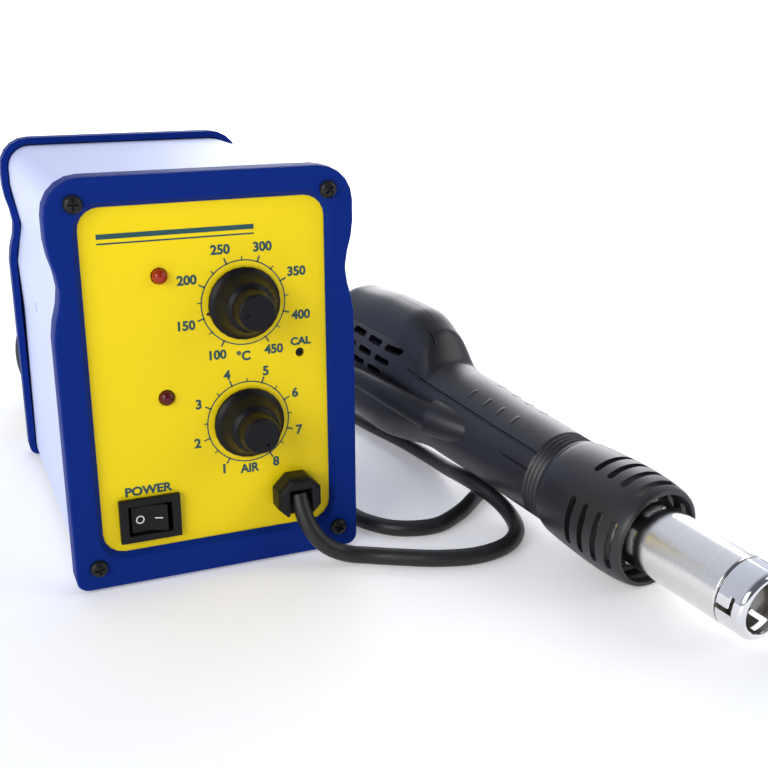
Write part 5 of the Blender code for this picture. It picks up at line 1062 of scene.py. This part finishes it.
start = -BARREL_REACH - 0.0006
end = start - COLLAR_LENGTH + 0.0006
tongue = bore - GAP
collar_outline = [
    (tongue, start + COLLAR_TONGUE), (tongue, start), (COLLAR_RADIUS, start), (COLLAR_RADIUS, end + 0.0022),
    (COLLAR_RADIUS - 0.0001, end + 0.0015), (COLLAR_RADIUS - 0.0004, end + 0.0008),
    (COLLAR_RADIUS - 0.0009, end + 0.0003), (COLLAR_RADIUS - 0.0016, end), (COLLAR_MOUTH + 0.0007, end),
    (COLLAR_MOUTH + 0.0002, end + 0.0003),
    (COLLAR_MOUTH, end + 0.0008), (COLLAR_MOUTH + 0.0005, end + 0.0014), (COLLAR_RADIUS - 0.0008, end + 0.0020),
    (COLLAR_RADIUS - 0.0008, start - 0.0006), (tongue - 0.0006, start + 0.0002),
    (tongue - 0.0006, start + COLLAR_TONGUE),
]
collar = spun("bright_collar", collar_outline, REARWARD, 96, ring=True)
for k in range(3):
    turn = Matrix.Rotation(radians(NOTCH_TURN + 120 * k), 4, "Y")
    combine(collar, box_piece("notch", (-0.0009, start - 0.0062, 0.0095), (0.0009, start + 0.001, 0.014), turn))
    combine(collar, box_piece("notch", (0.0005, start - 0.0062, 0.0095), (0.0050, start - 0.0044, 0.014), turn))
collar.data.transform(HANDPIECE)
smooth(collar, 32)
settle(collar, "chrome", ("nozzle_collar",))
for name in ("heater_coil", "heater_core", "mica_sleeve"):
    fit(name, 0.0, 45.0)
print("barrel and collar done")

# %% [markdown]
# ## Studio
# The station stands on a plain white sweep under broad soft light, so its shadows are faint. The floor isn't part of
# the object. Three large lamps and pale surroundings give the long soft highlights on the black plastic and the steel.

# %% Floor and light
FLOOR_GLOW = (0.30, 1.60, 0.27, 0.80)
ROOM_LIGHT = (-0.30, 0.80, 0.16, 1.15)


def rise_between(tree, limits):
    """A Map Range node: the two values that it reads, and what it gives at each."""
    node = tree.nodes.new("ShaderNodeMapRange")
    for socket, value in zip(("From Min", "From Max", "To Min", "To Max"), limits):
        node.inputs[socket].default_value = value
    return node


def make_floor():
    """A plain pale floor that glows a little more with distance, as a curved sweep does under lamps."""
    bpy.ops.object.select_all(action="DESELECT")
    bpy.ops.mesh.primitive_plane_add(size=14.0, location=(0, 4.0, -0.00002))
    floor = bpy.context.active_object
    floor.name = "floor"
    material = bpy.data.materials.new("floor_white")
    material.use_nodes = True
    tree = material.node_tree
    shader = tree.nodes["Principled BSDF"]
    shader.inputs["Base Color"].default_value = (0.90, 0.90, 0.92, 1)
    shader.inputs["Roughness"].default_value = 0.5
    shader.inputs["Specular IOR Level"].default_value = 0.2
    shader.inputs["Emission Color"].default_value = (1, 1, 1, 1)
    place = tree.nodes.new("ShaderNodeNewGeometry").outputs["Position"]
    away = tree.nodes.new("ShaderNodeVectorMath")
    away.operation = "LENGTH"
    rise = rise_between(tree, FLOOR_GLOW)
    tree.links.new(place, away.inputs[0])
    tree.links.new(away.outputs["Value"], rise.inputs["Value"])
    tree.links.new(rise.outputs["Result"], shader.inputs["Emission Strength"])
    floor.data.materials.append(material)


def make_room():
    """Surroundings that are dark towards the front and bright behind, and plain white to the camera."""
    world = bpy.data.worlds.new("studio")
    world.use_nodes = True
    tree = world.node_tree
    room = tree.nodes["Background"]
    seen = tree.nodes.new("ShaderNodeBackground")
    split = tree.nodes.new("ShaderNodeSeparateXYZ")
    rise = rise_between(tree, ROOM_LIGHT)
    mix = tree.nodes.new("ShaderNodeMixShader")
    room.inputs["Color"].default_value = (0.82, 0.87, 1.0, 1)
    seen.inputs["Color"].default_value = (1, 1, 1, 1)
    tree.links.new(tree.nodes.new("ShaderNodeTexCoord").outputs["Generated"], split.inputs["Vector"])
    tree.links.new(split.outputs["Y"], rise.inputs["Value"])
    tree.links.new(rise.outputs["Result"], room.inputs["Strength"])
    tree.links.new(tree.nodes.new("ShaderNodeLightPath").outputs["Is Camera Ray"], mix.inputs["Fac"])
    tree.links.new(room.outputs["Background"], mix.inputs[1])
    tree.links.new(seen.outputs["Background"], mix.inputs[2])
    tree.links.new(mix.outputs["Shader"], tree.nodes["World Output"].inputs["Surface"])
    bpy.context.scene.world = world


def make_lamp_panel(name, place, aim, power, size):
    """A square soft light aimed at a point."""
    data = bpy.data.lights.new(name, "AREA")
    data.energy = power
    data.size = size
    lamp = put(name, data)
    lamp.location = place
    lamp.rotation_euler = (Vector(aim) - Vector(place)).to_track_quat("-Z", "Y").to_euler()


make_floor()
make_room()
AIM = (0.03, 0.0, 0.05)
make_lamp_panel("key_light", (-1.15, -0.80, 0.65), AIM, 14.0, 0.9)
make_lamp_panel("fill_light", (1.25, -0.70, 0.80), AIM, 7.0, 1.0)
make_lamp_panel("back_light", (0.85, 1.40, 0.60), AIM, 17.0, 1.2)
bpy.context.scene.view_settings.view_transform = "Standard"
print("studio lights:", len(bpy.data.lights))
